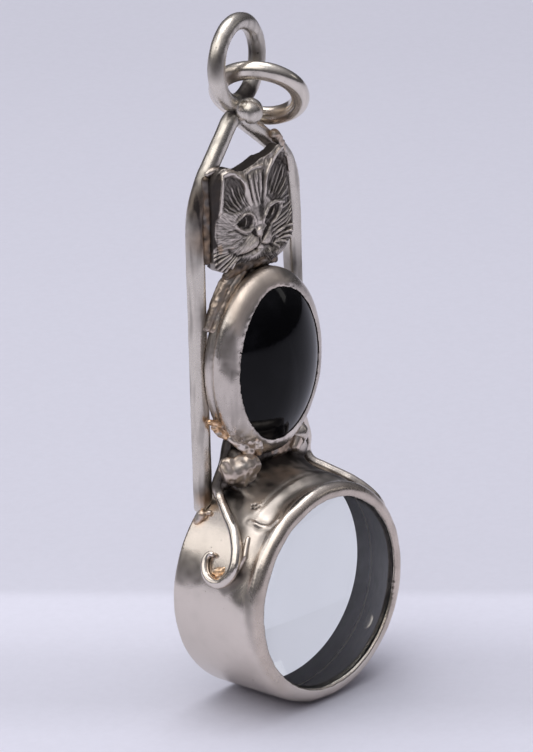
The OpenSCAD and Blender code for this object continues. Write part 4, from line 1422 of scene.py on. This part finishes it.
def floor_material():
    """A pale floor with painted light: one soft lighter strip behind the object, and lighter nearest the
    camera.
    """
    material, tree, shader = new_material("Pale floor")
    place = object_place(tree)
    away = add_node(tree, "ShaderNodeVectorMath", operation="DOT_PRODUCT")
    away.inputs[1].default_value = (FLOOR_AWAY[0], FLOOR_AWAY[1], 0.0)
    tree.links.new(place, away.inputs[0])
    nearest = FLOOR_LIGHT_TONES[0][0]
    reach = FLOOR_LIGHT_TONES[-1][0] - nearest
    start = (nearest + FOOT.x * 1000 * FLOOR_AWAY[0]) / 1000
    position = add_node(tree, "ShaderNodeMapRange")
    for socket, number in zip(position.inputs[1:5], (start, start + reach / 1000, 0.0, 1.0)):
        socket.default_value = number
    tree.links.new(away.outputs["Value"], position.inputs[0])
    painted_light_strip = add_node(tree, "ShaderNodeValToRGB")
    stops = painted_light_strip.color_ramp.elements
    while len(stops) < len(FLOOR_LIGHT_TONES):
        stops.new(0.5)
    tone = colours().floor
    for stop, (beyond, share) in zip(stops, FLOOR_LIGHT_TONES):
        stop.position = (beyond - nearest) / reach
        stop.color = tuple(channel * share for channel in tone) + (1.0,)
    tree.links.new(position.outputs[0], painted_light_strip.inputs[0])
    weave = spread(tree, noise_texture(tree, place, 900, 3, 0.6), 0.2, 0.8, 0.985, 1.015)
    paper = add_node(tree, "ShaderNodeVectorMath", operation="SCALE")
    tree.links.new(painted_light_strip.outputs["Color"], paper.inputs[0])
    tree.links.new(weave, paper.inputs["Scale"])
    tree.links.new(paper.outputs[0], shader.inputs["Base Color"])
    set_inputs(shader, {"Roughness": 0.75, "Specular IOR Level": 0.2})
    return material


def soft_box(name, around, above, width, height, radiance, colour):
    """A soft light at these angles from the object, as wide and as tall as the angles given, in degrees."""
    middle = TO_METRES @ Vector(LIT_MIDDLE)
    bpy.ops.object.light_add(type="AREA", location=middle + direction(around, above) * LIGHT_REACH)
    light = bpy.context.object
    light.name = name
    light.data.shape = "RECTANGLE"
    light.data.size = 2 * LIGHT_REACH * np.tan(np.radians(width / 2))
    light.data.size_y = 2 * LIGHT_REACH * np.tan(np.radians(height / 2))
    light.data.energy = radiance * np.pi * light.data.size * light.data.size_y
    light.data.color = colour
    light.rotation_euler = (middle - light.location).to_track_quat("-Z", "Y").to_euler()


class PENDANT_OT_stage(bpy.types.Operator):
    """Lay the pale floor, hang the soft lights and place the camera"""

    bl_idname = "pendant.stage"
    bl_label = "Stage"

    def execute(self, context):
        deselect()
        bpy.ops.mesh.primitive_plane_add(size=FLOOR_SIZE, location=(FOOT.x, 0, FOOT.z))
        floor = bpy.context.object
        floor.name = "floor"
        bpy.ops.object.transform_apply(location=True, rotation=True, scale=True)
        floor.data.materials.append(floor_material())
        for light in LIGHTS:
            soft_box(*light)
        self.make_world()
        self.make_camera()
        return {"FINISHED"}

    def make_world(self):
        """A dim room with a paler ceiling; the camera itself sees only a plain pale backdrop."""
        world = bpy.context.scene.world or bpy.data.worlds.new("Studio")
        bpy.context.scene.world = world
        world.use_nodes = True
        tree = world.node_tree
        background = tree.nodes["Background"]
        facing = add_node(tree, "ShaderNodeTexCoord").outputs["Generated"]
        parts = add_node(tree, "ShaderNodeSeparateXYZ")
        tree.links.new(facing, parts.inputs[0])
        room = add_node(tree, "ShaderNodeValToRGB")
        stops = room.color_ramp.elements
        while len(stops) < len(ROOM_TONES):
            stops.new(0.5)
        for stop, (height, tone) in zip(stops, ROOM_TONES):
            stop.position = height
            stop.color = tone + (1.0,)
        tree.links.new(parts.outputs["Z"], room.inputs[0])
        seen = add_node(tree, "ShaderNodeLightPath").outputs["Is Camera Ray"]
        shown = mix_colours(tree, seen, room.outputs["Color"], BACKDROP)
        tree.links.new(shown, background.inputs["Color"])
        set_inputs(background, {"Strength": 1.0})
        bpy.context.scene.view_settings.view_transform = "Standard"

    def make_camera(self):
        """Places a long lens that fits the photograph."""
        back = line_of_sight()
        right = (-back).cross(Vector((0, 0, 1))).normalized()
        up = right.cross(-back)
        turn = sizes().roll
        across = right * np.cos(turn) + up * np.sin(turn)
        upward = up * np.cos(turn) - right * np.sin(turn)
        aim = TO_METRES @ Vector(CAMERA_AIM)
        lens_data = bpy.data.cameras.new("Camera")
        camera = bpy.data.objects.new("Camera", lens_data)
        bpy.context.scene.collection.objects.link(camera)
        lens_data.sensor_width = SENSOR
        lens_data.lens = FOCAL_PIXELS / PIXELS_TALL * SENSOR
        lens_data.clip_start = 0.01
        turned = Matrix((across, upward, back)).transposed().to_4x4()
        camera.matrix_world = Matrix.Translation(aim + back * sizes().distance) @ turned
        bpy.context.scene.camera = camera


PIECES = (
    PENDANT_OT_housing,
    PENDANT_OT_lens,
    PENDANT_OT_frame,
    PENDANT_OT_bezel,
    PENDANT_OT_stone,
    PENDANT_OT_cat_face,
    PENDANT_OT_scrolls,
    PENDANT_OT_solder,
    PENDANT_OT_jump_ring,
    PENDANT_OT_stage,
)


class PENDANT_PT_pieces(bpy.types.Panel):
    """Lists the pieces of the pendant."""

    bl_label = "Loupe pendant"
    bl_idname = "PENDANT_PT_pieces"
    bl_space_type = "VIEW_3D"
    bl_region_type = "UI"
    bl_category = "Pendant"

    def draw(self, context):
        layout = self.layout
        for group in (context.scene.pendant_sizes, context.scene.pendant_colours):
            for name in group.__annotations__:
                layout.prop(group, name)
        for piece in PIECES:
            layout.operator(piece.bl_idname)


CLASSES = (PendantSizes, PendantColours) + PIECES + (PENDANT_PT_pieces,)


def register():
    for part in CLASSES:
        bpy.utils.register_class(part)
    bpy.types.Scene.pendant_sizes = PointerProperty(type=PendantSizes)
    bpy.types.Scene.pendant_colours = PointerProperty(type=PendantColours)


def unregister():
    del bpy.types.Scene.pendant_colours
    del bpy.types.Scene.pendant_sizes
    for part in reversed(CLASSES):
        bpy.utils.unregister_class(part)


def main():
    register()
    bpy.ops.pendant.housing()
    bpy.ops.pendant.lens()
    bpy.ops.pendant.frame()
    bpy.ops.pendant.bezel()
    bpy.ops.pendant.stone()
    bpy.ops.pendant.cat_face()
    bpy.ops.pendant.scrolls()
    bpy.ops.pendant.solder()
    bpy.ops.pendant.jump_ring()
    bpy.ops.pendant.stage()


if __name__ == "__main__":
    main()
